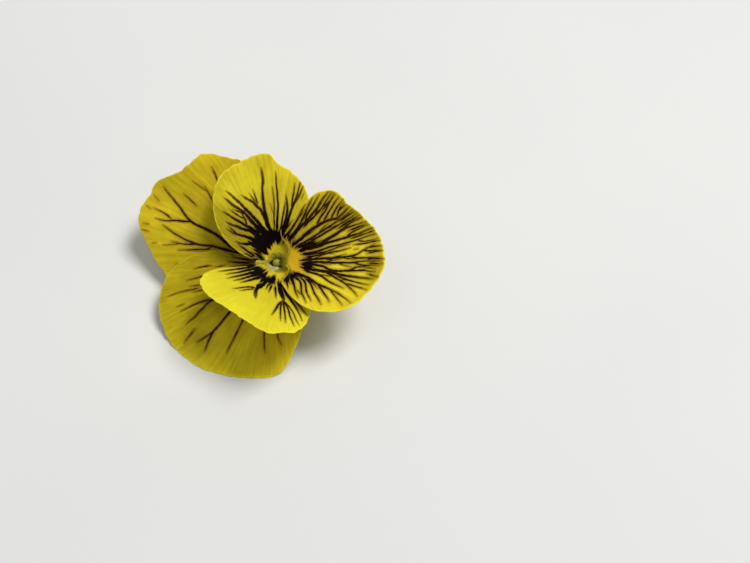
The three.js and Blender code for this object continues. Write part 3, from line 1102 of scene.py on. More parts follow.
@dataclass
class Petal:
    """One petal: its surface, its thickness, its veins and its mesh.

    claw_at is the azimuth of its claw, and fan the azimuths between which its blade spreads. The blade
    starts at the length turn, and its slopes at the sides -1, 0 and 1 run from base to tip over its span.
    wave is the height, count and phase of its ruffles, reach its margin as (side, length), branches how
    readily its veins fork, and flutes and crinkle are the heights of its pleats and its scallops.
    """

    name: str
    node: str
    slot: Slot
    finish: PetalFinish
    seed: int
    claw_at: float
    fan: Place
    turn: float
    base: Spot
    tip: Spot
    span: float
    wave: Spot
    reach: tuple[Place, ...]
    veins: tuple[Vein, ...]
    roots: tuple[Roots, ...]
    columns: int
    rows: int
    branches: float
    flutes: float
    claw: Claw = CLAW
    crinkle: float = 0.08
    opens_over: float | None = None
    spur: Spur | None = None

    CLAW_FOOT = -6.5
    FUNNEL = 3.2
    SPREAD_FROM = 2.7
    SPREAD_OVER = 2.4
    STEP = 0.1
    LONGEST = 42
    HALF_THICKNESS = ((0, 0.24), (5, 0.22), (12, 0.19), (24, 0.14), (40, 0.12))
    MARGIN_ROWS = (0.3, 0.2, 0.12, 0.06, 0.02, 0)
    SIDE_EDGE = (0.99, 0.994, 0.997, 0.999, 1)
    INNER_SIDE = 0.985
    ROUNDING = 0.3
    CLAW_ROWS = 9
    FUNNEL_ROWS = 16
    GROOVE = 0.05
    CLEARANCE = 0.01
    LIFT_SOFTNESS = 0.08
    LIFT_BELOW = 2
    FAR = 1.6
    NEAREST = 5

    def __post_init__(self) -> None:
        """Prepares the curve of its margin."""
        self.margin = curve_through(self.reach)
        self.scallops = wander(SEED + self.seed, 7, 4, 15)

    def reach_at(self, side: Points) -> Points:
        """Length from foot to margin, with its small scallops."""
        return self.margin(side) + self.crinkle * self.scallops(side) * smooth((1 - np.abs(side)) * 6)

    def slope(self, length: Points, side: Points) -> Points:
        """Slope above the face's plane, in degrees.

        Args:
            length: Lengths along the petal.
            side: Sides.

        Returns:
            Slopes in degrees.
        """
        start = self.turn + self.FUNNEL / 2
        share = np.clip((length - start) / (self.span - start), 0, 1.6)
        blade = bend(self.base, side) * (1 - share) + bend(self.tip, side) * share
        turned = smooth((length - self.turn) / self.FUNNEL)
        return self.claw.lean * (1 - turned) + blade * turned

    def rays(self, sides: Points) -> tuple[Points, Points, Points]:
        """Lengths, radii and heights along the petal, one row for each side.

        Args:
            sides: The sides.

        Returns:
            Lengths, and the radii and heights at them.
        """
        lengths = np.arange(0, self.LONGEST, self.STEP)
        angle = np.radians(self.slope((lengths[1:] + lengths[:-1])[None] / 2, sides[:, None]))
        start = np.zeros((len(sides), 1))
        radius = self.claw.foot + np.concatenate([start, np.cumsum(np.cos(angle) * self.STEP, 1)], 1)
        height = self.CLAW_FOOT + np.concatenate([start, np.cumsum(np.sin(angle) * self.STEP, 1)], 1)
        return lengths, radius, height

    def surface(self, lengths: Points, sides: Points) -> Points:
        """Middle surface.

        Args:
            lengths: Lengths from the foot, one column for each side.
            sides: The sides.

        Returns:
            Points of the part's frame in millimetres, shaped as lengths with a last axis of 3.
        """
        grid, radii, heights = self.rays(sides)
        radius = np.stack([np.interp(lengths[:, j], grid, radii[j]) for j in range(len(sides))], 1)
        height = np.stack([np.interp(lengths[:, j], grid, heights[j]) for j in range(len(sides))], 1)
        if self.opens_over:
            spread = smooth((lengths - self.turn) / self.opens_over)
        else:
            spread = smooth((radius - self.SPREAD_FROM) / self.SPREAD_OVER) * (lengths > self.turn)
        in_claw = self.claw_at + sides * self.claw.half_width
        in_fan = (self.fan[0] + self.fan[1]) / 2 + sides * (self.fan[1] - self.fan[0]) / 2
        azimuth = np.radians(in_claw * (1 - spread) + in_fan * spread)
        high, count, phase = self.wave
        outward = np.clip(lengths / self.span, 0, 1.3)
        ruffle = high * outward**3 * np.sin(TURN * (count * (sides + 1) / 2 + phase / 360))
        ruffle = ruffle + self.pleats(lengths, sides)
        x, y = radius * np.cos(azimuth), radius * np.sin(azimuth)
        return BLOOM.to_part(np.stack([x, y, height + ruffle], -1))

    def pleats(self, lengths: Points, sides: Points) -> Points:
        """Fine pleats that fan out towards the margin, and the margin's own small ripple.

        Args:
            lengths: Lengths, one column for each side.
            sides: The sides.

        Returns:
            Heights above the smooth surface.
        """
        share = lengths / self.reach_at(sides)
        fine = wander(SEED + 10 + self.seed, 9, 6, 22)(sides + 0.012 * np.sin(lengths / 3))
        coarse = wander(SEED + 20 + self.seed, 5, 2.5, 6)(sides)
        ripple = wander(SEED + 30 + self.seed, 5, 5, 11)(sides)
        folds = fine * smooth((share - 0.3) / 0.5) + 1.6 * coarse * smooth((share - 0.4) / 0.6)
        return self.flutes * (folds + 1.2 * ripple * smooth((share - 0.82) / 0.2))

    def to_edge(self, lengths: Points, points: Points) -> Points:
        """Distance from each point to the petal's nearest edge.

        Args:
            lengths: Lengths, one column for each side.
            points: The surface there.

        Returns:
            Distances in millimetres.
        """
        steps = np.linalg.norm(np.diff(points, axis=1), axis=-1)
        from_first = np.concatenate([np.zeros((len(points), 1)), np.cumsum(steps, 1)], 1)
        to_side = np.minimum(from_first, from_first[:, -1:] - from_first)
        return np.minimum(np.minimum(to_side, lengths), lengths[-1:] - lengths)

    def half_thickness(self, lengths: Points, edge: Points) -> Points:
        """Half the thickness at each point, with rounded edges."""
        body = np.interp(lengths, *np.array(self.HALF_THICKNESS).T)
        return body * rounded_edge(edge / self.ROUNDING)

    def grid(self) -> tuple[Points, Points]:
        """Lengths, one column for each side, and the sides of the mesh's points.

        Returns:
            Lengths and sides.
        """
        inner = np.linspace(-self.INNER_SIDE, self.INNER_SIDE, self.columns)
        edge = np.array(self.SIDE_EDGE)
        sides = np.concatenate([-edge[::-1], inner, edge])
        blade_from = self.turn + 0.75 * self.FUNNEL
        reach = self.reach_at(sides)
        foot = np.linspace(0, self.turn, self.CLAW_ROWS, endpoint=False)
        funnel = np.linspace(self.turn, blade_from, self.FUNNEL_ROWS, endpoint=False)
        near = np.concatenate([foot, funnel])[:, None] + 0 * sides
        share = np.linspace(0, 1, self.rows)[:, None]
        blade = blade_from + share * (reach - self.MARGIN_ROWS[0] - blade_from)
        margin = reach - np.array(self.MARGIN_ROWS[1:])[:, None]
        return np.vstack([near, blade, margin]), sides

    def branch_veins(self) -> list[Vein]:
        """Fine side branches of the drawn veins, seeded.

        Returns:
            The branches.
        """
        rng = np.random.default_rng(SEED + 100 + self.seed)
        half_fan = math.radians(self.fan[1] - self.fan[0]) / 2
        made = []
        for trunk in self.veins:
            path = curve_through(trunk.places)
            start, end = trunk.places[0][0], trunk.places[-1][0]
            hand = rng.choice([-1, 1])
            length = start + rng.uniform(*BRANCHING.first)
            while length < end - 1 and rng.random() < self.branches * 1.6:
                side = float(path(length))
                angle = math.radians(rng.uniform(*BRANCHING.swing))
                swing = hand * math.tan(angle) / (half_fan * max(3, length - 4))
                far = length + rng.uniform(*BRANCHING.reach)
                near = length + (far - length) * BRANCHING.kink
                if far < float(self.margin(side)) - BRANCHING.margin:
                    bent = (near, side + swing * (near - length))
                    tip = (far, side + swing * (far - length) * BRANCHING.straighten)
                    made.append(Vein(trunk.width * BRANCHING.width, ((length, side), bent, tip)))
                hand = -hand
                length += rng.uniform(*BRANCHING.gap)
        return made

    def vein_samples(self, one: Vein, rng: np.random.Generator) -> tuple[Points, Points, Points]:
        """Points along a vein, its half width at each and the share of its length.

        Args:
            one: The vein.
            rng: Source of the small wobble.

        Returns:
            Points in millimetres, half widths, and shares.
        """
        places = np.array(one.places)
        steps = np.abs(np.diff(places[:, 0])) + PEN.side_scale * np.abs(np.diff(places[:, 1]))
        knots = np.concatenate([[0], np.cumsum(steps)])
        total = knots[-1]
        t = np.linspace(0, total, max(8, int(total / PEN.step)))
        lengths, sides = (curve_through(list(zip(knots, run)))(t) for run in places.T)
        wobble = wander(int(rng.integers(1 << 30)), 3, 0.12, 0.4)(t)
        sides = sides + PEN.wobble * wobble / np.maximum(4, lengths - 4)
        share = t / total
        patchy = 1 + PEN.patchy * wander(int(rng.integers(1 << 30)), 4, 0.2, 0.9)(t)
        half_widths = PEN.half_widths(one.width, total, share, lengths) * patchy
        return self.surface(lengths[None], sides)[0], half_widths, share * one.fades

    def vein_field(self, points: Points) -> tuple[Points, Points]:
        """The veins as two numbers at each point.

        Args:
            points: Points of the petal, in millimetres.

        Returns:
            Distance from the edge of the nearest vein, negative inside it, and the share of its length there.
        """
        rng = np.random.default_rng(SEED + 200 + self.seed)
        veins = [*self.veins, *self.branch_veins()]
        for roots in self.roots:
            veins += roots.veins(SEED + self.seed * 7)
        samples = zip(*(self.vein_samples(one, rng) for one in veins))
        places, widths, shares = map(np.concatenate, samples)
        tree = KDTree(len(places))
        for i, place in enumerate(places):
            tree.insert(place, i)
        tree.balance()
        flat = points.reshape(-1, 3)
        found = np.empty((len(flat), 2))
        for k, point in enumerate(flat):
            nearest = tree.find_n(point, self.NEAREST)
            found[k] = min((distance - widths[i], shares[i]) for _, i, distance in nearest)
        found = found.reshape(*points.shape[:-1], 2)
        return np.clip(found[..., 0], -1, self.FAR), found[..., 1]

    def build(self) -> Object:
        """Makes the petal's closed mesh, with the values and the UV map that its finish reads.

        Returns:
            The object, joined with its spur where it has one.
        """
        lengths, sides = self.grid()
        middle = self.surface(lengths, sides)
        height = middle[..., 2]
        normal = unit(np.cross(np.gradient(middle, axis=0), np.gradient(middle, axis=1)))
        edge = self.to_edge(lengths, middle)
        half = self.half_thickness(lengths, edge)
        distance, share = self.vein_field(middle)
        groove = self.GROOVE * smooth((0.12 - distance) / 0.3)
        least = half + self.CLEARANCE
        lifted = 0.5 * (height + least + np.sqrt((height - least) ** 2 + self.LIFT_SOFTNESS**2))
        middle[..., 2] = np.where(height < self.LIFT_BELOW, lifted, height)
        front = middle + normal * (half - groove * half / 0.2)[..., None]
        piece = closed_sheet(self.name, front, middle - normal * half[..., None])
        shown = np.full_like(lengths, 0.5)
        shown[CORE] = 1
        add_values(piece, "front", np.append(shown.ravel(), np.zeros(shown[CORE].size)))
        for name, values in {"vein": distance, "age": share, "edge": edge}.items():
            add_values(piece, name, both_skins(values))
        across = sides * ((self.fan[1] - self.fan[0]) / 2) + 0 * lengths
        add_uv(piece, both_skins(across) / UV_UNIT, both_skins(lengths) / UV_UNIT)
        return join(f"{self.name}_and_spur", [piece, self.spur.build()]) if self.spur else piece

    def dress(self) -> Object:
        """Builds the petal and gives it its finish."""
        return finish_piece(self.build(), self.finish.material(), [self.node])


UPPER_RIGHT = Petal(
    name="upper_right_petal", node="petal_top_right", slot=Slot.PETAL_BACK,
    finish=BACK_YELLOW, seed=1,
    claw_at=144, fan=(95, 205), turn=2.4, base=(6, -3, -9), tip=(10, 1, -9), span=31, wave=(0.5, 3.5, 20),
    reach=((-1, 17), (-0.8, 24), (-0.6, 28.5), (-0.46, 31.7), (-0.33, 31.8), (-0.22, 32.6), (-0.07, 35.6),
           (0.01, 35.2), (0.1, 35.6), (0.21, 34.9), (0.34, 32), (0.5, 29), (0.75, 24), (1, 17)),
    columns=235, rows=104, branches=0.15, flutes=0.035,
    veins=(
        vein(0.62, (9, 0.24), (13, 0.155), (17, 0.07), (20, 0.06), (23.8, 0.055), (28, -0.02),
             (33.4, -0.085)),
        vein(0.42, (23.6, 0.055), (25.2, 0.08), (27.6, 0.115), (29.5, 0.145), (31.6, 0.15)),
        vein(0.34, (27.8, 0.115), (29.8, 0.09), (32.8, 0.085)),
        vein(0.5, (9, 0.3), (12.6, 0.25), (17.2, 0.24), (19.6, 0.265), (22, 0.26), (25.4, 0.23),
             (29.4, 0.18)),
        vein(0.34, (20.4, 0.265), (23.4, 0.295), (26.4, 0.3)),
        vein(0.36, (17.2, 0.25), (18.2, 0.3), (20, 0.325), (23, 0.35)),
        vein(0.42, (9, 0.46), (11.8, 0.47), (14.2, 0.44), (16.4, 0.43)),
        vein(0.36, (9, 0.6), (14.3, 0.57), (16.4, 0.56), (18.8, 0.53)),
        vein(0.34, (24.4, -0.42), (26.5, -0.445), (28.2, -0.455)),
        vein(0.28, (24.4, -0.105), (26, -0.12), (28.6, -0.13)),
        vein(0.24, (33.4, 0.1), (34.6, 0.09)),
        vein(0.3, (32.4, 0.21), (33.6, 0.215)),
        vein(0.24, (32, 0.26), (33.6, 0.26)),
        vein(0.22, (29.6, 0.33), (30.6, 0.34)),
        vein(0.2, (32.6, 0.02), (34.4, 0.0)),
        vein(0.3, (23.6, 0.52), (24.8, 0.5)),
        vein(0.3, (21, -0.24), (23.4, -0.27), (25.6, -0.3)),
        vein(0.5, (9, -0.3), (14, -0.4), (20, -0.52)),
        vein(0.5, (9, 0.05), (14, -0.12), (19, -0.2)),
    ),
    roots=(Roots((-0.6, 0.8), (8.6, 8.6), (10.6, 11), 12, 0.5),),
)
UPPER_LEFT = Petal(
    name="upper_left_petal", node="petal_top_left", slot=Slot.PETAL_BACK,
    finish=LEFT_BACK_YELLOW, seed=2,
    claw_at=216, fan=(166, 302), turn=3.4, base=(-2, -2, -4), tip=(-1, -8, -12), span=29, wave=(0.25, 3, 200),
    reach=((-1, 16), (-0.9, 21.6), (-0.75, 26.7), (-0.55, 30), (-0.3, 31.4), (-0.05, 30.8), (0.2, 28.8),
           (0.46, 27), (0.55, 25.7), (0.66, 22.1), (0.8, 18), (1, 12)),
    columns=235, rows=100, branches=0.1, flutes=0.045,
    veins=(
        vein(0.5, (8.6, -0.3), (14, -0.35), (19.2, -0.385), (21.6, -0.36), (24, -0.335), (26.4, -0.325)),
        vein(0.36, (18.8, -0.39), (21, -0.42), (23.5, -0.43), (26.2, -0.43)),
        vein(0.26, (25.4, -0.25), (27.4, -0.235), (29.2, -0.22)),
        vein(0.56, (8.6, -0.1), (14, -0.14), (17.8, -0.14), (20.6, -0.13), (23, -0.13), (26.9, -0.165)),
        vein(0.42, (22, -0.13), (24, -0.115), (27.2, -0.07)),
        vein(0.4, (8.6, 0.05), (14, 0.05), (18, 0.06), (20.8, 0.07), (24.7, 0.08)),
        vein(0.36, (8.6, 0.36), (14, 0.34), (18, 0.36), (21.9, 0.4)),
        vein(0.3, (14, 0.5), (18.4, 0.52), (20, 0.56)),
        vein(0.36, (12, -0.7), (16, -0.69), (19.8, -0.67), (23.2, -0.66)),
        vein(0.42, (12, -0.56), (16, -0.57), (20, -0.585), (22.6, -0.6)),
        vein(0.26, (20.4, -0.555), (24, -0.575), (27.6, -0.57)),
        vein(0.4, (12, -0.5), (16, -0.52), (19.8, -0.53), (22.2, -0.54)),
        vein(0.26, (24.8, -0.47), (26.6, -0.475)),
        vein(0.3, (8.8, -0.68), (11.4, -0.675), (13.8, -0.66)),
        vein(0.34, (8.6, -0.75), (11.8, -0.74), (14.8, -0.72)),
        vein(0.3, (8.6, -0.82), (11.6, -0.83), (13.8, -0.84)),
        vein(0.3, (17.4, -0.79), (19.2, -0.78), (21.4, -0.76)),
        vein(0.3, (14.4, -0.78), (16.6, -0.77)),
        vein(0.3, (9, -0.9), (11, -0.92), (13, -0.92)),
    ),
    roots=(Roots((-0.95, 0.75), (8, 8), (10.6, 10.2), 18, 0.45),),
)
LEFT_SIDE = Petal(
    name="left_side_petal", node="petal_side_left", slot=Slot.PETAL_FRONT,
    finish=SIDE_YELLOW, seed=3,
    claw_at=288, fan=(186, 316), turn=4.4, base=(16, 24, 2), tip=(30, 64, 4), span=25, wave=(0.35, 3, 60),
    reach=((-1, 8.5), (-0.93, 17.5), (-0.82, 21.4), (-0.6, 23.1), (-0.2, 23.3), (0.08, 24.4), (0.32, 25.7),
           (0.44, 24.1), (0.57, 23.1), (0.7, 20.4), (0.86, 16), (1, 9.5)),
    columns=250, rows=96, branches=0.0, flutes=0.015, crinkle=0.14, opens_over=2.6,
    veins=(
        vein(1.0, (9.2, -0.06), (11, -0.15), (12.5, -0.19), (13.6, -0.14), (15.2, -0.06)),
        vein(0.4, (12.4, -0.2), (13.4, -0.34), (15, -0.43), (16.6, -0.48)),
        vein(0.28, (12.8, -0.2), (14, -0.3), (15.8, -0.38)),
        vein(0.44, (9, -0.98), (12, -0.965), (15.4, -0.95)),
        vein(0.46, (9, -0.9), (12, -0.885), (17, -0.88)),
        vein(0.48, (8.8, -0.8), (12, -0.8), (15.8, -0.805)),
        vein(0.52, (9, -0.68), (12, -0.7), (16, -0.725)),
        vein(0.5, (9.2, -0.56), (12, -0.6), (15, -0.635)),
        vein(0.5, (9.4, -0.42), (11.6, -0.48), (14, -0.54)),
        vein(0.3, (9.5, 0.02), (11.6, 0.03)),
        vein(0.42, (9.6, 0.13), (12.2, 0.13)),
        vein(0.36, (9.8, 0.26), (12, 0.3), (13.4, 0.32)),
        vein(1.0, (9.2, 0.38), (11.3, 0.42), (13.5, 0.47), (14.6, 0.45)),
        vein(0.5, (13.9, 0.44), (15.5, 0.37), (18.8, 0.3)),
        vein(0.36, (14, 0.44), (16, 0.415), (20.2, 0.42)),
        vein(0.4, (13.9, 0.45), (16, 0.47), (20.6, 0.475)),
        vein(0.42, (13.5, 0.46), (16, 0.52), (18.6, 0.54), (21.5, 0.56)),
        vein(0.3, (14, 0.48), (16.4, 0.57), (19.6, 0.6), (21, 0.61)),
        vein(0.5, (9.4, 0.5), (12, 0.55), (14.5, 0.62), (18, 0.66), (19.8, 0.66)),
        vein(0.4, (13, 0.65), (16, 0.71), (18.4, 0.74)),
        vein(0.36, (9.6, 0.62), (12, 0.7), (14, 0.78)),
    ),
    roots=(Roots((-0.98, -0.5), (8.6, 7.4), (11, 10.8), 8, 0.7),
           Roots((-0.5, 0.25), (7.5, 7.8), (10.5, 9.8), 10, 0.95),
           Roots((0.3, 0.9), (8, 9), (9.8, 10.6), 6, 0.5)),
)
RIGHT_SIDE = Petal(
    name="right_side_petal", node="petal_side_right", slot=Slot.PETAL_FRONT,
    finish=DEEPER_AND_SHADED_YELLOW, seed=4,
    claw_at=72, fan=(44, 178), turn=4.4, base=(4, 14, 22), tip=(-4, 12, 22), span=26, wave=(0.45, 3.3, 30),
    reach=((-1, 9), (-0.85, 15), (-0.63, 20.5), (-0.4, 24.1), (-0.33, 24.8), (-0.24, 27.2), (0.06, 26.8),
           (0.18, 26.1), (0.35, 23.5), (0.58, 19.1), (0.8, 13.6), (1, 8.5)),
    columns=275, rows=100, branches=0.1, flutes=0.035, opens_over=2.6,
    veins=(
        vein(0.72, (10, -0.08), (11.4, -0.09), (14, -0.1), (17, -0.115), (19.8, -0.14), (22, -0.17),
             (24.4, -0.17)),
        vein(0.66, (11, -0.09), (13, -0.08), (15.5, -0.05), (16.8, -0.01), (18, 0.025), (19, 0.07),
             (20.3, 0.11)),
        vein(0.34, (16.6, -0.02), (18.4, -0.035), (20.5, -0.03)),
        vein(0.26, (17.2, -0.01), (18.6, 0.0), (20, 0.02)),
        vein(0.74, (10, 0.02), (11.4, 0.04), (13.9, 0.09), (16.2, 0.135), (18.6, 0.17), (20.8, 0.2),
             (22.7, 0.225)),
        vein(0.84, (10, 0.1), (11.8, 0.13), (14, 0.17), (16.4, 0.195), (19.4, 0.255), (21.7, 0.28)),
        vein(0.3, (16.2, 0.2), (17.6, 0.25), (18.8, 0.29)),
        vein(0.3, (15, 0.22), (17, 0.29), (19.4, 0.325)),
        vein(0.7, (10.4, 0.19), (12.6, 0.24), (14.6, 0.31), (17, 0.36), (19.9, 0.4)),
        vein(0.74, (10.4, 0.25), (12.4, 0.28), (14, 0.37), (16.6, 0.45), (18, 0.475)),
        vein(0.6, (9.8, 0.36), (11, 0.4), (12.8, 0.46), (15, 0.54), (17.2, 0.55)),
        vein(0.3, (14.4, 0.52), (15.6, 0.51), (17.2, 0.5)),
        vein(0.46, (9.6, 0.46), (10.6, 0.5), (12, 0.6), (13.6, 0.68)),
        vein(0.4, (11, 0.56), (12.4, 0.63), (14.2, 0.66)),
        vein(0.4, (9, 0.86), (10.6, 0.77), (12, 0.72), (13.4, 0.7)),
        vein(0.34, (9.2, 0.9), (10.6, 0.86), (11.8, 0.82)),
        vein(0.24, (11, -0.22), (13, -0.24), (16.2, -0.265), (20, -0.26)),
        vein(0.44, (10.4, -0.28), (13, -0.305), (16, -0.32), (20.2, -0.305), (23.3, -0.3)),
        vein(0.36, (10.4, -0.38), (12.4, -0.4), (15, -0.415), (17.2, -0.43)),
        vein(0.62, (9.8, -0.44), (11, -0.45), (13.6, -0.475), (16, -0.46), (18.4, -0.42)),
        vein(0.6, (9.6, -0.5), (11, -0.52), (13.4, -0.52), (15.6, -0.53), (18.6, -0.575), (21, -0.59)),
        vein(0.34, (15.6, -0.525), (18, -0.51), (21.2, -0.5)),
        vein(0.34, (15.8, -0.53), (18.6, -0.55), (22.5, -0.55)),
        vein(0.3, (10, -0.62), (13, -0.64), (16, -0.66)),
        vein(0.22, (18.2, -0.62), (19.6, -0.625)),
    ),
    roots=(Roots((-0.38, 0.55), (8, 7.2), (11.6, 11.4), 14, 0.95),
           Roots((0.6, 0.98), (7.1, 7.2), (9.8, 9.4), 7, 0.5),
           Roots((-0.85, -0.45), (8.2, 8.6), (10.6, 11), 7, 0.5)),
)
LIP = Petal(
    name="lip_petal", node="petal_lip", slot=Slot.PETAL_FRONT,
    finish=LIP_YELLOW, seed=5, claw=LIP_CLAW, spur=Spur(),
    claw_at=0, fan=(-84, 84), turn=6.0, base=(24, 8, 18), tip=(42, 14, 24), span=27, wave=(0.35, 4.2, 100),
    reach=((-1, 9.5), (-0.88, 12.4), (-0.75, 17.4), (-0.6, 22.4), (-0.42, 26.4), (-0.28, 27.8), (-0.09, 29.8),
           (0.1, 29), (0.28, 26.9), (0.42, 25.5), (0.58, 25.2), (0.7, 22.2), (0.8, 16), (1, 9.5)),
    columns=345, rows=100, branches=0.3, flutes=0.02, crinkle=0.11,
    veins=(
        vein(0.5, (11, 0.88), (13, 0.78), (15, 0.745), (17, 0.735), (19.4, 0.735)),
        vein(0.4, (11.4, 0.93), (14, 0.84), (15.4, 0.81)),
        vein(0.56, (11, 0.74), (13, 0.68), (16, 0.67), (18.7, 0.69), (21.4, 0.695)),
        vein(0.66, (11, 0.68), (13.3, 0.66), (16.4, 0.62), (19.5, 0.6), (21.4, 0.61), (24.4, 0.605)),
        vein(0.4, (16, 0.62), (17.6, 0.65), (19.6, 0.655), (22.6, 0.655)),
        vein(0.44, (15, 0.6), (18.4, 0.57), (21, 0.565), (24.8, 0.585)),
        vein(0.8, (10.6, 0.52), (13.2, 0.49), (16, 0.47), (17.4, 0.46), (19, 0.44), (20.6, 0.41),
             (21.8, 0.385), (25.2, 0.4)),
        vein(0.42, (17.2, 0.465), (18.7, 0.5), (21, 0.52), (25, 0.565)),
        vein(0.4, (18.8, 0.445), (21.7, 0.49), (25, 0.515)),
        vein(0.4, (20.4, 0.415), (22.6, 0.455), (25.1, 0.475)),
        vein(0.34, (21.6, 0.39), (23.5, 0.44), (25, 0.45)),
        vein(0.46, (10.6, 0.42), (13, 0.385), (15, 0.37), (19.5, 0.365), (21.8, 0.36), (25.6, 0.37)),
        vein(0.46, (11, 0.36), (13.4, 0.33), (18, 0.33), (22.3, 0.325), (26, 0.33)),
        vein(0.8, (11, 0.27), (13, 0.235), (15.2, 0.22), (17.1, 0.24), (19.6, 0.255), (21.5, 0.27),
             (23.8, 0.29), (26.6, 0.29)),
        vein(0.34, (20.4, 0.26), (22.6, 0.265), (27, 0.245)),
        vein(0.62, (13, 0.21), (16, 0.2), (18.3, 0.2), (20.6, 0.19), (24.4, 0.185), (28, 0.19)),
        vein(0.34, (21.6, 0.19), (23.6, 0.215), (27.4, 0.22)),
        vein(0.46, (11.4, 0.16), (13.6, 0.13), (18, 0.14), (22.1, 0.135), (24.2, 0.14), (28.3, 0.145)),
        vein(0.3, (23.6, 0.138), (25.6, 0.11), (28.4, 0.11)),
        vein(0.42, (11.8, 0.11), (14.3, 0.1), (16.2, 0.09), (20, 0.115), (22.2, 0.12)),
        vein(0.42, (12, 0.06), (14, 0.055), (18, 0.07), (20, 0.07), (22.2, 0.08)),
        vein(0.3, (23.1, 0.06), (23.9, 0.06)),
        vein(0.56, (11, -0.015), (14, 0.0), (18, -0.005), (21.7, 0.0), (23.4, 0.01), (25, 0.04),
             (27.6, 0.075)),
        vein(0.4, (22, -0.005), (24, -0.02), (28.6, -0.02)),
        vein(0.4, (24.6, 0.04), (26.4, 0.03), (28.8, 0.03)),
        vein(0.5, (12, -0.06), (15, -0.055), (18, -0.06), (22, -0.06), (24, -0.05), (29, -0.045)),
        vein(0.3, (22.6, -0.06), (25, -0.075), (28.8, -0.08)),
        vein(0.54, (11.6, -0.08), (13.5, -0.1), (16.5, -0.12), (18, -0.15), (20, -0.15), (22.2, -0.13),
             (23.6, -0.1), (25, -0.09), (28, -0.1)),
        vein(0.4, (21, -0.145), (22.8, -0.13), (25.4, -0.12), (28, -0.12)),
        vein(0.7, (11.4, -0.2), (13, -0.2), (15.4, -0.19), (18.3, -0.18), (20.6, -0.185), (23, -0.18),
             (28, -0.17)),
        vein(0.42, (17, -0.19), (18.6, -0.21), (20.5, -0.235), (22.8, -0.26), (26.2, -0.315)),
        vein(0.34, (22.4, -0.25), (24.6, -0.25), (27.4, -0.25)),
        vein(0.34, (19.6, -0.2), (22, -0.215), (27.4, -0.215)),
        vein(0.46, (12.4, -0.26), (15.2, -0.25), (17, -0.26), (18.8, -0.29), (22.6, -0.3)),
        vein(0.66, (10.6, -0.46), (12.4, -0.4), (14, -0.37), (16.8, -0.38), (19.6, -0.37), (23, -0.36)),
        vein(0.28, (21, -0.365), (23.4, -0.37), (25.9, -0.385)),
        vein(0.26, (20, -0.37), (22, -0.4), (24.8, -0.435)),
        vein(0.46, (16.8, -0.38), (19.2, -0.43), (22, -0.475)),
        vein(0.44, (13.4, -0.4), (15.5, -0.43), (17.8, -0.5), (21.2, -0.545)),
        vein(0.44, (12.4, -0.45), (14.2, -0.46), (16.3, -0.56), (19, -0.6)),
        vein(0.44, (11.4, -0.54), (13.2, -0.51), (15.8, -0.62), (18.7, -0.655)),
        vein(0.42, (10.8, -0.62), (12.2, -0.63), (14.6, -0.69), (16.7, -0.71)),
        vein(0.34, (10.6, -0.74), (12, -0.77), (13.6, -0.8)),
        vein(0.4, (25.6, -0.032), (27.6, -0.03), (29.8, -0.034)),
        vein(0.4, (25.8, 0.012), (27.6, 0.018), (29.5, 0.02)),
        vein(0.4, (25.6, 0.056), (27.4, 0.058), (29.3, 0.054)),
        vein(0.36, (26, 0.09), (27.6, 0.094), (29, 0.09)),
        vein(0.34, (26, 0.165), (28.3, 0.17)),
        vein(0.34, (26, -0.062), (29.5, -0.066)),
        vein(0.34, (26.4, -0.14), (29, -0.15)),
        vein(0.4, (21.6, 0.345), (23.4, 0.35), (25.9, 0.35)),
        vein(0.4, (20.6, 0.3), (22.8, 0.305), (26.2, 0.31)),
        vein(0.36, (22.4, 0.165), (24.4, 0.165), (27.8, 0.165)),
        vein(0.36, (22.6, 0.235), (24.6, 0.235), (27, 0.23)),
        vein(0.36, (22.4, 0.425), (23.6, 0.43), (25.2, 0.425)),
        vein(0.36, (20, 0.54), (22, 0.545), (24.8, 0.545)),
        vein(0.36, (23, 0.1), (25, 0.095), (28.6, 0.09)),
    ),
    roots=(Roots((-0.84, -0.4), (10.4, 11), (12, 13), 9, 0.62),
           Roots((0.34, 0.9), (10.8, 11), (12.6, 12.8), 11, 0.45),
           Roots((-0.25, -0.1), (11.8, 11.6), (14.4, 14.2), 4, 0.8),
           Roots((0.2, 0.31), (12.2, 12.2), (15.6, 15), 4, 0.9)),
)

PETALS = (UPPER_RIGHT, UPPER_LEFT, LEFT_SIDE, RIGHT_SIDE, LIP)


# Pieces behind and inside the flower


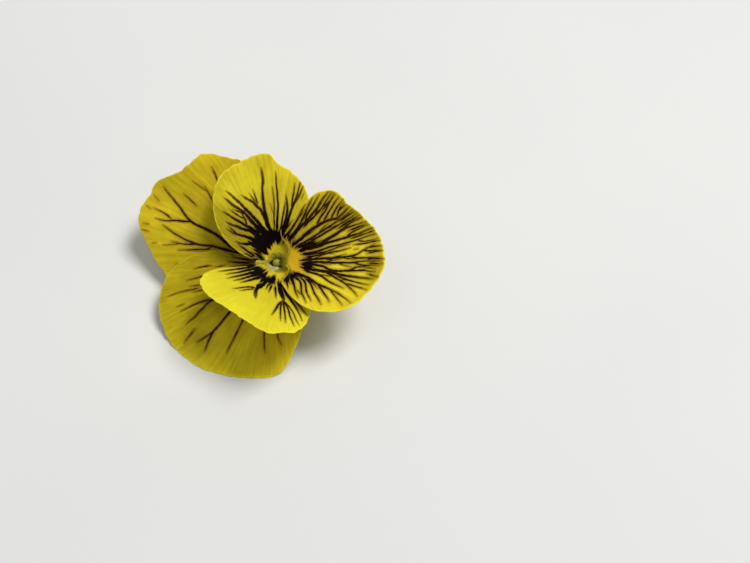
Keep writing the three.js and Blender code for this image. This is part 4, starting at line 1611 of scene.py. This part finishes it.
@dataclass
class Sepal:
    """One sepal with its backward appendage.

    It starts at the radius foot and the height foot_height, leans in or out by lean, and turns at the
    length turn into a blade whose slope runs from base to tip and whose margins rise by cup.
    """

    name: str
    node: str
    azimuth: float
    seed: int
    foot: float = 4.2
    foot_height: float = -9.3
    lean: float = 105
    turn: float = 1.6
    funnel: float = 2.2
    base: float = 24
    tip: float = 0
    length: float = 13
    cup: float = 0.45
    half_width: tuple[Place, ...] = ((0, 0.55), (1.2, 0.95), (2.6, 1.05), (6.5, 1.75), (10, 1.2), (13, 0.15))
    half_thickness: float = 0.24
    rib_height: float = 0.12
    columns: int = 31
    rows: int = 110
    tufts: int = 90

    STEP = 0.05
    EDGE_LENGTH = 0.4
    HAIR_SIDE = 0.985

    def slope(self, lengths: Points) -> Points:
        """Slope along the sepal, in radians.

        Args:
            lengths: Lengths along the sepal.

        Returns:
            Slopes in radians.
        """
        turned = smooth((lengths - self.turn) / self.funnel)
        blade = self.base + (self.tip - self.base) * np.clip(lengths / self.length, 0, 1)
        return np.radians(self.lean * (1 - turned) + blade * turned)

    def width_at(self, lengths: Points) -> Points:
        """Half its width at some lengths."""
        return curve_through(self.half_width)(np.clip(lengths, 0, self.length))

    def surface(self, lengths: Points, sides: Points) -> Points:
        """Middle surface in the part's frame, with slightly toothed margins.

        Args:
            lengths: Lengths along the sepal.
            sides: Sides, as many as lengths.

        Returns:
            Points in millimetres.
        """
        grid = np.arange(0, self.length + 0.3, self.STEP)
        slopes = self.slope((grid[1:] + grid[:-1]) / 2)
        radius = self.foot + np.concatenate([[0], np.cumsum(np.cos(slopes) * self.STEP)])
        height = self.foot_height + np.concatenate([[0], np.cumsum(np.sin(slopes) * self.STEP)])
        teeth = 1 + 0.05 * wander(SEED + self.seed, 6, 0.3, 1.1)(lengths)
        across = sides * (self.width_at(lengths) * teeth)
        angle = self.slope(lengths)
        lift = self.cup * sides**2 * np.minimum(1, lengths / self.length * 3)
        ripple = 0.06 * wander(SEED + 50 + self.seed, 4, 0.1, 0.35)(lengths) * sides
        out = np.interp(lengths, grid, radius) - lift * np.sin(angle)
        azimuth = math.radians(self.azimuth)
        x = out * math.cos(azimuth) - across * math.sin(azimuth)
        y = out * math.sin(azimuth) + across * math.cos(azimuth)
        z = np.interp(lengths, grid, height) + lift * np.cos(angle) + ripple
        return BLOOM.to_part(np.stack([x, y, z], -1))

    def build(self) -> Object:
        """Makes the sepal's closed mesh.

        Returns:
            The object.
        """
        share = np.linspace(0, 1, self.rows)
        rows = self.length * (share - 0.01 * np.sin(TURN * share))
        columns = np.sin(np.linspace(-1, 1, self.columns) * np.pi / 2)
        lengths, sides = np.meshgrid(rows, columns, indexing="ij")
        middle = self.surface(lengths, sides)
        normal = unit(np.cross(np.gradient(middle, axis=0), np.gradient(middle, axis=1)))
        to_end = np.minimum(lengths, self.length - lengths) / self.EDGE_LENGTH
        half = self.half_thickness * rounded_edge(np.minimum(to_end, (1 - np.abs(sides)) * 3))
        rib = self.rib_height * np.exp(-((sides / 0.12) ** 2)) + 0.03 * np.cos(sides * 16)
        front = middle + normal * (half * 0.8)[..., None]
        back = middle - normal * (half * (1 + rib / self.half_thickness))[..., None]
        piece = closed_sheet(self.name, above_ground(front), above_ground(back))
        width = self.width_at(lengths)
        ribs = np.minimum(np.abs(sides) * width, np.abs(np.abs(sides) - 0.55) * width + 0.07)
        margin = (1 - np.abs(sides)) * width + 0.02
        add_values(piece, "vein", both_skins(np.minimum(ribs - 0.05, margin)))
        add_uv(piece, both_skins(sides), both_skins(lengths) / UV_UNIT)
        return piece

    def hair_roots(self) -> tuple[Points, Points]:
        """Roots and directions of the tufts of fine hairs on its margins, seeded.

        Returns:
            Roots in millimetres and unit directions.
        """
        rng = np.random.default_rng(SEED + 70 + self.seed)
        lengths = rng.uniform(0.6, self.length - 0.8, self.tufts)
        sides = rng.choice([-self.HAIR_SIDE, self.HAIR_SIDE], self.tufts)
        roots = self.surface(lengths, sides)
        return roots, unit(roots - self.surface(lengths, sides * 0.9))

    def dress(self) -> Object:
        """Builds the sepal and gives it its finish."""
        return finish_piece(self.build(), SEPAL_GREEN.material(), [self.node])


SEPALS = (
    Sepal("upper_sepal", "sepal_top", 180, 1),
    Sepal("right_sepal", "sepal_side_right", 108, 2),
    Sepal("left_sepal", "sepal_side_left", 252, 3),
    Sepal("lower_right_sepal", "sepal_low_right", 50, 4),
    Sepal("lower_left_sepal", "sepal_low_left", 310, 5, length=11.8,
          half_width=((0, 0.55), (1.2, 0.95), (2.6, 1.05), (6, 1.7), (9.2, 1.15), (11.8, 0.15))),
)


@dataclass
class Stalk:
    """The receptacle's disc with the short picked stub of its stalk."""

    top: Spot = (0, 0, -7.8)
    on_ground: tuple[Spot, ...] = (
        (4.9, 2.3, 1.95), (3.2, 3.6, 1.15), (0, 5.6, 0.85), (-4.4, 8.6, 0.8), (-8.7, 11.2, 0.8))
    radius: float = 0.85
    rim: tuple[Place, ...] = (
        (0.02, -8.9), (0.95, -8.9), (1.6, -8.1), (3.1, -7.35), (3.1, -6.85), (0.02, -6.85))
    spur_at: float = 3.62
    spur_room: float = Spur.radius + 0.3
    sides: int = 64
    rings: int = 150
    disc_sides: int = 96
    disc_rings: int = 46
    cut_shares: tuple[float, ...] = (0.9, 0.8, 0.55, 0.3, 0.1)
    cut_roughness: float = 0.02
    flare: float = 0.0625

    OPEN = 9.0

    def ridges(self, angles: Points, length: float) -> Points:
        """Five soft ridges that turn slowly round the stalk."""
        return 1 - 0.06 * (1 + np.cos(5 * angles + length * 0.12)) * 0.5

    def notch(self, angles: Points) -> Points:
        """Radius at which the spur's room begins, round the disc.

        Args:
            angles: Angles round the disc, in radians.

        Returns:
            A radius for each angle.
        """
        inside = self.spur_room**2 - (self.spur_at * np.sin(angles)) ** 2
        near = self.spur_at * np.cos(angles) - np.sqrt(np.clip(inside, 0, None))
        return np.where((inside > 0) & (np.cos(angles) > 0), near, self.OPEN)

    def disc(self) -> Object:
        """The receptacle, notched where the spur passes.

        Returns:
            The object.
        """
        along, radius, height = rounded_outline(self.rim, self.disc_rings)
        angles = ring_angles(self.disc_sides)
        lobes = 1 + 0.03 * np.cos(5 * (angles - np.pi))
        r = np.minimum(radius[:, None] * lobes, self.notch(angles))
        z = height[:, None] + 0 * angles
        points, faces = tube(np.stack([r * np.cos(angles), r * np.sin(angles), z], -1))
        piece = mesh_object("receptacle", BLOOM.to_part(points), faces)
        add_values(piece, "vein", np.full(len(points), 1.0))
        add_uv(piece, for_sides(angles, self.disc_rings), for_rings(along, self.disc_sides) / UV_UNIT)
        return piece

    def stub(self) -> Object:
        """The stalk down to its rough cut end.

        Returns:
            The object.
        """
        line = Line([self.top, *BLOOM.from_part(self.on_ground)])
        rings = np.linspace(0, line.total, self.rings)
        girth = self.radius * (1 + 0.035 * wander(SEED + 5, 4, 0.05, 0.2)(rings))
        flare = self.flare * np.exp(-(((rings - line.total) / 0.35) ** 2))
        end = [(line.total, self.radius * share) for share in self.cut_shares]
        profile = [*zip(rings, girth + flare), *end]
        points, faces = bar(line, profile, self.sides, self.ridges)
        points = above_ground(BLOOM.to_part(points))
        cut = len(end) * self.sides
        rough = np.random.default_rng(SEED + 8).normal(0, self.cut_roughness, (cut, 3))
        points[-cut - 2:-2] += rough * np.array([1, 1, 0])
        piece = mesh_object("stub", points, faces)
        around = for_sides(ring_shares(self.sides), len(profile))
        along = for_rings([length for length, _ in profile], self.sides, (0, line.total))
        pale = 0.1 + 0.5 * np.abs(np.sin(around * np.pi * 5))
        pale[-cut - 2:] = -0.05
        add_values(piece, "vein", pale)
        add_uv(piece, around * 4, along / UV_UNIT)
        return piece

    def dress(self) -> Object:
        """Builds the stub and the disc as one piece and gives it its finish."""
        piece = join("receptacle_and_stalk", [self.stub(), self.disc()])
        return finish_piece(piece, STALK_GREEN.material(), ["stalk"])


@dataclass
class Pistil:
    """Ovary, style and round stigma."""

    places: tuple[Spot, ...] = (
        (0, 0, -6.5), (0, 0, -4.6), (0.15, 0, -3.2), (-0.1, 0, -1.9), (-0.75, 0, 0.1))
    girth: tuple[Place, ...] = (
        (0, 0.45), (0.35, 0.74), (0.95, 0.85), (1.6, 0.72), (2.2, 0.42), (2.8, 0.3), (4.0, 0.32), (4.7, 0.5),
        (5.2, 0.8), (5.75, 0.9), (6.3, 0.72), (6.6, 0.35))
    sides: int = 72
    furrow: float = 0.07
    head_at: float = 5.6
    hollow_depth: float = 0.45
    lip_height: float = 0.07

    NECK = 4.4
    HEAD_FROM = 4.7
    MOUTH = (0.8, -0.15, 0.42)
    HOLLOW_ANGLE = 30
    LIP_ANGLE = 34

    def build(self) -> Object:
        """Makes the pistil, with the small hollow of its stigma.

        Returns:
            The object.
        """
        line = Line(self.places)
        tip = self.girth[-1][0]
        ovary = np.linspace(0.02, self.NECK, 40, endpoint=False)
        lengths = np.concatenate([ovary, np.linspace(self.NECK, tip, 60)])
        profile = [*zip(lengths, curve_through(self.girth)(lengths)), (tip + 0.03, 0.2), (tip + 0.04, 0.06)]
        points, faces = bar(line, profile, self.sides, self.furrows)
        along = for_rings([length for length, _ in profile], self.sides, (0, tip))
        outward = unit(points - line.at(self.head_at))
        angle = np.degrees(np.arccos(np.clip(outward @ unit(np.array(self.MOUTH)), -1, 1)))
        head = smooth((along - self.HEAD_FROM) / 0.4)
        hollow = smooth((self.HOLLOW_ANGLE - angle) / 14) * head
        lip = np.exp(-(((angle - self.LIP_ANGLE) / 9) ** 2)) * head
        points = points - outward * (self.hollow_depth * hollow - self.lip_height * lip)[:, None]
        piece = mesh_object("ovary_style_and_stigma", BLOOM.to_part(points), faces)
        # The hollow's points are moved down the ramp onto its dark stop: painted shade in the stigma's hollow
        add_uv(piece, along / tip, np.clip(along / tip - 0.35 * hollow, 0, 1))
        return piece

    def furrows(self, angles: Points, length: float) -> Points:
        """Three furrows down the ovary."""
        return 1 - self.furrow * (1 + np.cos(3 * angles)) * float(smooth((2.4 - length) / 1.2))

    def dress(self) -> Object:
        """Builds the pistil and gives it its finish."""
        return finish_piece(self.build(), PISTIL_GREEN.material(), ["pistil"])


@dataclass
class Stamens:
    """Five anthers joined in a cone, with the nectar spurs of the two lower ones."""

    profile: tuple[Place, ...] = (
        (1.3, -6.5), (1.75, -6.5), (1.78, -5.4), (1.5, -3.7),
        (1.05, -2.9), (0.8, -3.1), (1.3, -4.5), (1.3, -6.5))
    count: int = 5
    groove: float = 0.1
    furrow: float = 0.02
    scallop: float = 0.18
    lowered: float = 0.1
    spur_places: tuple[Spot, ...] = ((1.45, 0.75, -5.3), (2.4, 0.6, -5.2), (3.2, 0.42, -5.7), (3.5, 0.4, -7))
    spur_radius: float = 0.25
    spur_rings: int = 26
    spur_sides: int = 16
    sides: int = 120
    rings: int = 56

    def cone(self) -> Object:
        """The joined anthers, each with a furrow between its two pollen sacs.

        Returns:
            The object.
        """
        _, radius, height = rounded_outline(self.profile, self.rings, closed=True)
        angles = ring_angles(self.sides)
        waist = 1 - self.groove * (1 - np.abs(np.cos(angles * self.count / 2)))
        sacs = self.furrow * np.cos(angles * self.count * 2) * smooth((-3.4 - height) / 0.8)[:, None]
        scallop = self.scallop * np.cos(angles * self.count) * smooth((height + 3.8) / 0.8)[:, None]
        r = radius[:, None] * (waist + sacs)
        z = height[:, None] + scallop - self.lowered
        points = np.stack([r * np.cos(angles), r * np.sin(angles), z], -1).reshape(-1, 3)
        index = np.arange(len(points)).reshape(self.rings, self.sides)
        wrapped = np.pad(index, (0, 1), mode="wrap")
        piece = mesh_object("anther_cone", BLOOM.to_part(points), sheet_quads(wrapped, flipped=True))
        add_uv(piece, np.tile(angles, self.rings), np.clip((points[:, 2] + 6.7) / 4, 0, 1))
        return piece

    def spur(self, hand: int) -> Object:
        """The nectar spur on one hand, 1 or -1.

        Args:
            hand: Its hand.

        Returns:
            The object.
        """
        line = Line([(x, y * hand, z) for x, y, z in self.spur_places])
        lengths = np.linspace(0, line.total, self.spur_rings)
        to_end = np.minimum(lengths, line.total - lengths)
        girth = self.spur_radius * rounded_edge(to_end / self.spur_radius, 0.05)
        points, faces = bar(line, list(zip(lengths, girth)), self.spur_sides)
        piece = mesh_object("nectar_spur", BLOOM.to_part(points), faces)
        add_uv(piece, np.zeros(len(points)), np.full(len(points), 0.2))
        return piece

    def dress(self) -> Object:
        """Builds the cone and the two nectar spurs as one piece and gives it its finish."""
        piece = join("anthers_and_nectar_spurs", [self.cone(), self.spur(1), self.spur(-1)])
        return finish_piece(piece, ANTHER_CREAM.material(), ["stamens"])


# Hairs, by Geometry Nodes


class Haired(Protocol):
    """Anything that tufts of hairs stand on."""

    def hair_roots(self) -> tuple[Points, Points]:
        """Roots in millimetres of the part's frame and unit directions."""


@dataclass(frozen=True)
class Patch:
    """Tufts of hairs on a part of a petal's front, which lean along the petal and towards its side 1."""

    petal: Petal
    sides: Place
    lengths: Place
    tufts: int
    lean: Place
    seed: int

    STEP = 0.02
    SIDE_STEP = 0.002
    ROOT_HEIGHT = 0.15

    def hair_roots(self) -> tuple[Points, Points]:
        """Roots and directions of its tufts, seeded.

        Returns:
            Roots in millimetres and unit directions.
        """
        rng = np.random.default_rng(self.seed)
        side = rng.uniform(*self.sides, self.tufts)
        length = rng.uniform(*self.lengths, self.tufts)[None]
        here = self.petal.surface(length, side)[0]
        outward = self.petal.surface(length + self.STEP, side)[0] - here
        sideways = self.petal.surface(length, side + self.SIDE_STEP)[0] - here
        normal = unit(np.cross(outward, sideways))
        leaning = normal + unit(outward) * self.lean[0] + unit(sideways) * self.lean[1]
        return here + normal * self.ROOT_HEIGHT, unit(leaning)


@dataclass
class Hairs:
    """Fine tapered hairs in tufts of three, aimed along the normals of tiny triangles."""

    name: str
    length: float
    thickness: float
    spread: float
    finish: HairFinish
    slot: Slot
    grounds: Sequence[Haired]
    seed: int = 3

    INPUTS = {"Hair length": "Float", "Hair thickness": "Float", "Spread": "Float", "Seed": "Int"}
    SIZES = (0.45, 1.0)
    TRIANGLE = 0.004

    def tree(self, material: Material) -> Tree:
        """Node tree that puts a hair on each point and turns the result into plain mesh.

        Args:
            material: The hairs' material.

        Returns:
            The tree.
        """
        tree = bpy.data.node_groups.new(self.name, "GeometryNodeTree")
        face = tree.interface
        face.new_socket("Geometry", in_out="INPUT", socket_type="NodeSocketGeometry")
        for name, kind in self.INPUTS.items():
            face.new_socket(name, in_out="INPUT", socket_type="NodeSocket" + kind)
        face.new_socket("Geometry", in_out="OUTPUT", socket_type="NodeSocketGeometry")
        node = Nodes(tree).node
        given = node("NodeGroupInput").outputs
        hair = node("GeometryNodeMeshCone", {"fill_type": "NONE"}, {
            "Vertices": 4, "Side Segments": 2,
            "Radius Bottom": given["Hair thickness"], "Depth": given["Hair length"]})
        scatter = node("FunctionNodeRandomValue", {"data_type": "FLOAT_VECTOR"}, {
            0: (-1, -1, -1), 1: (1, 1, 1), "Seed": given["Seed"]})
        spread = node("ShaderNodeVectorMath", {"operation": "SCALE"}, {
            0: scatter.outputs[0], "Scale": given["Spread"]})
        normal = node("GeometryNodeInputNormal")
        aim = node("ShaderNodeVectorMath", {"operation": "ADD"}, {0: normal.outputs[0], 1: spread.outputs[0]})
        turn = node("FunctionNodeAlignRotationToVector", {"axis": "Z"}, {"Vector": aim.outputs[0]})
        low, high = self.SIZES
        size = node("FunctionNodeRandomValue", {"data_type": "FLOAT"}, {
            2: low, 3: high, "Seed": given["Seed"]})
        placed = node("GeometryNodeInstanceOnPoints", None, {
            "Points": given["Geometry"], "Instance": hair.outputs["Mesh"],
            "Rotation": turn.outputs[0], "Scale": size.outputs[1]})
        real = node("GeometryNodeRealizeInstances", None, {0: placed.outputs[0]})
        painted = node("GeometryNodeSetMaterial", None, {"Geometry": real.outputs[0], "Material": material})
        node("NodeGroupOutput", None, {0: painted.outputs[0]})
        return tree

    def patch(self) -> Object:
        """Mesh with a tiny triangle at the root of each tuft.

        Returns:
            The object.
        """
        roots, directions = map(np.vstack, zip(*(ground.hair_roots() for ground in self.grounds)))
        side = unit(np.cross(directions, np.array([0.31, 0.85, 0.42])))
        other = np.cross(directions, side)
        tiny = self.TRIANGLE
        behind = roots - tiny * 0.5 * side
        corners = [roots + tiny * side, behind + tiny * other, behind - tiny * other]
        points = np.stack(corners, 1).reshape(-1, 3)
        faces = np.arange(len(points)).reshape(-1, 3)
        return mesh_object(self.name + "_patch", points, faces, smooth_faces=False)

    def dress(self) -> Object:
        """Grows the hairs as one plain mesh and gives it its finish.

        Returns:
            The finished piece.
        """
        patch = self.patch()
        material = self.finish.material()
        modifier = patch.modifiers.new("hairs", "NODES")
        modifier.node_group = self.tree(material)
        values = dict(zip(self.INPUTS, (self.length * MM, self.thickness * MM, self.spread, self.seed)))
        for item in modifier.node_group.interface.items_tree:
            if item.item_type == "SOCKET" and item.in_out == "INPUT" and item.name in values:
                modifier[item.identifier] = values[item.name]
        evaluated = patch.evaluated_get(bpy.context.evaluated_depsgraph_get())
        made = place_in_scene(self.name, bpy.data.meshes.new_from_object(evaluated))
        bpy.data.objects.remove(patch)
        return finish_piece(made, material)


SEPAL_DOWN = Hairs("sepal_margin_hairs", 0.28, 0.014, 0.35, DOWN, Slot.SEPAL, SEPALS)
BEARDS = (
    Hairs("white_beard", 1.25, 0.06, 0.25, BEARD, Slot.PETAL_FRONT, [
        Patch(LEFT_SIDE, (-0.9, -0.1), (5.2, 6.8), 330, (-0.7, 0), 5)]),
    Hairs("yellow_beard", 0.85, 0.055, 0.3, YELLOW_BEARD, Slot.PETAL_FRONT, [
        Patch(LEFT_SIDE, (-1, -0.75), (5.4, 7), 150, (0, -1.4), 11),
        Patch(LEFT_SIDE, (-1, -0.93), (6.6, 8.8), 90, (0, -1.4), 13),
        Patch(LEFT_SIDE, (-0.1, 1), (4.6, 6.6), 210, (0, 0), 6),
        Patch(RIGHT_SIDE, (-1, 0.9), (4.6, 6.6), 460, (-0.4, 0), 7),
        Patch(RIGHT_SIDE, (0.75, 1), (5.4, 7), 150, (0, 1.4), 12),
        Patch(RIGHT_SIDE, (0.94, 1), (6.6, 8.8), 90, (0, 1.4), 14)]),
    Hairs("throat_papillae", 1.05, 0.07, 0.3, THROAT_BEARD, Slot.PETAL_FRONT, [
        Patch(LIP, (-1, 1), (4.0, 8.6), 620, (-1.0, 0), 9)]),
)


# Stage


def soft_light(name: str, watts: float, size: float, colour: Colour) -> Object:
    """Square area light at the origin that shines down.

    Args:
        name: Name of the light.
        watts: Its power.
        size: Its width in metres.
        colour: Its colour.

    Returns:
        The object.
    """
    data = bpy.data.lights.new(name, "AREA")
    data.energy, data.size, data.color = watts, size, colour
    return place_in_scene(name, data)


@dataclass(frozen=True)
class Lamp:
    """A soft square light; its direction is an azimuth and an elevation as seen from the bloom."""

    name: str
    direction: Place
    watts: float
    size: float
    colour: Colour

    DISTANCE = 1.6

    def build(self) -> None:
        """Adds the light, turned towards the bloom."""
        azimuth, elevation = map(math.radians, self.direction)
        flat = math.cos(elevation)
        away = Vector((flat * math.cos(azimuth), flat * math.sin(azimuth), math.sin(elevation)))
        lamp = soft_light(self.name, self.watts, self.size, self.colour)
        lamp.location = away * self.DISTANCE
        lamp.rotation_euler = away.to_track_quat("Z", "Y").to_euler()


@dataclass
class Studio:
    """Surface, light and camera."""

    surface_size: float = 8.0
    lamps: tuple[Lamp, ...] = (
        Lamp("key", (28, 62), 19.4, 0.6, (1.0, 0.985, 0.95)),
        Lamp("fill", (-150, 60), 0.8, 0.6, (0.95, 0.97, 1.0)),
    )
    glow: Colour = (1.0, 0.8, 0.05)
    glow_watts: float = 0.0004
    glow_size: float = 0.05
    glow_at: Spot = (-5, -1, 5)
    sky: Colour = (0.93, 0.96, 1.0)
    sky_strength: float = 0.36

    SENSOR_WIDTH = 36
    CLIP_START = 0.01

    def build(self) -> None:
        """Adds the surface, the lights and the camera."""
        half = self.surface_size / 2
        corners = [(-half, -half, 0), (half, -half, 0), (half, half, 0), (-half, half, 0)]
        ground = mesh_object("surface", np.array(corners) / MM, [(0, 1, 2, 3)], smooth_faces=False)
        ground.data.materials.append(PAPER.material())
        for lamp in self.lamps:
            lamp.build()
        self.under_glow()
        self.daylight()
        self.camera()

    def under_glow(self) -> None:
        """Adds the faint yellow light that the petals let through onto the surface."""
        lamp = soft_light("petal_glow", self.glow_watts, self.glow_size, self.glow)
        lamp.location = Vector(self.glow_at) * MM

    def daylight(self) -> None:
        """Adds the even light from all round, and the plain view of its colours."""
        world = bpy.data.worlds.new("studio")
        world.use_nodes = True
        background = world.node_tree.nodes["Background"]
        background.inputs[0].default_value = (*self.sky, 1)
        background.inputs[1].default_value = self.sky_strength
        bpy.context.scene.world = world
        bpy.context.scene.view_settings.view_transform = "Standard"

    def camera(self) -> None:
        """Puts the camera where the throat falls on its pixel of the photograph."""
        elevation = math.radians(VIEW_ELEVATION)
        forward = np.array([0, math.cos(elevation), -math.sin(elevation)])
        up = np.array([0, math.sin(elevation), math.cos(elevation)])
        distance = FOCAL_PIXELS / PIXELS_PER_MM
        right = (THROAT_PIXEL[0] - PICTURE_WIDTH / 2) / PIXELS_PER_MM
        above = (PICTURE_HEIGHT / 2 - THROAT_PIXEL[1]) / PIXELS_PER_MM
        data = bpy.data.cameras.new("camera")
        data.sensor_width = self.SENSOR_WIDTH
        data.lens = FOCAL_PIXELS / PICTURE_WIDTH * data.sensor_width
        data.clip_start = self.CLIP_START
        camera = place_in_scene("camera", data)
        camera.location = Vector((THROAT - np.array([right, 0, 0]) - above * up - distance * forward) * MM)
        camera.rotation_euler = (math.radians(90 - VIEW_ELEVATION), 0, 0)
        bpy.context.scene.camera = camera


def main() -> None:
    """Builds the stage and then the bloom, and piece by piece."""
    Studio().build()
    for part in (*PETALS, *SEPALS, SEPAL_DOWN, Stalk(), Pistil(), Stamens(), *BEARDS):
        piece = part.dress()
        triangles = sum(len(face.vertices) - 2 for face in piece.data.polygons)
        log.info("%s: %d triangles", piece.name, triangles)


if __name__ == "__main__":
    main()
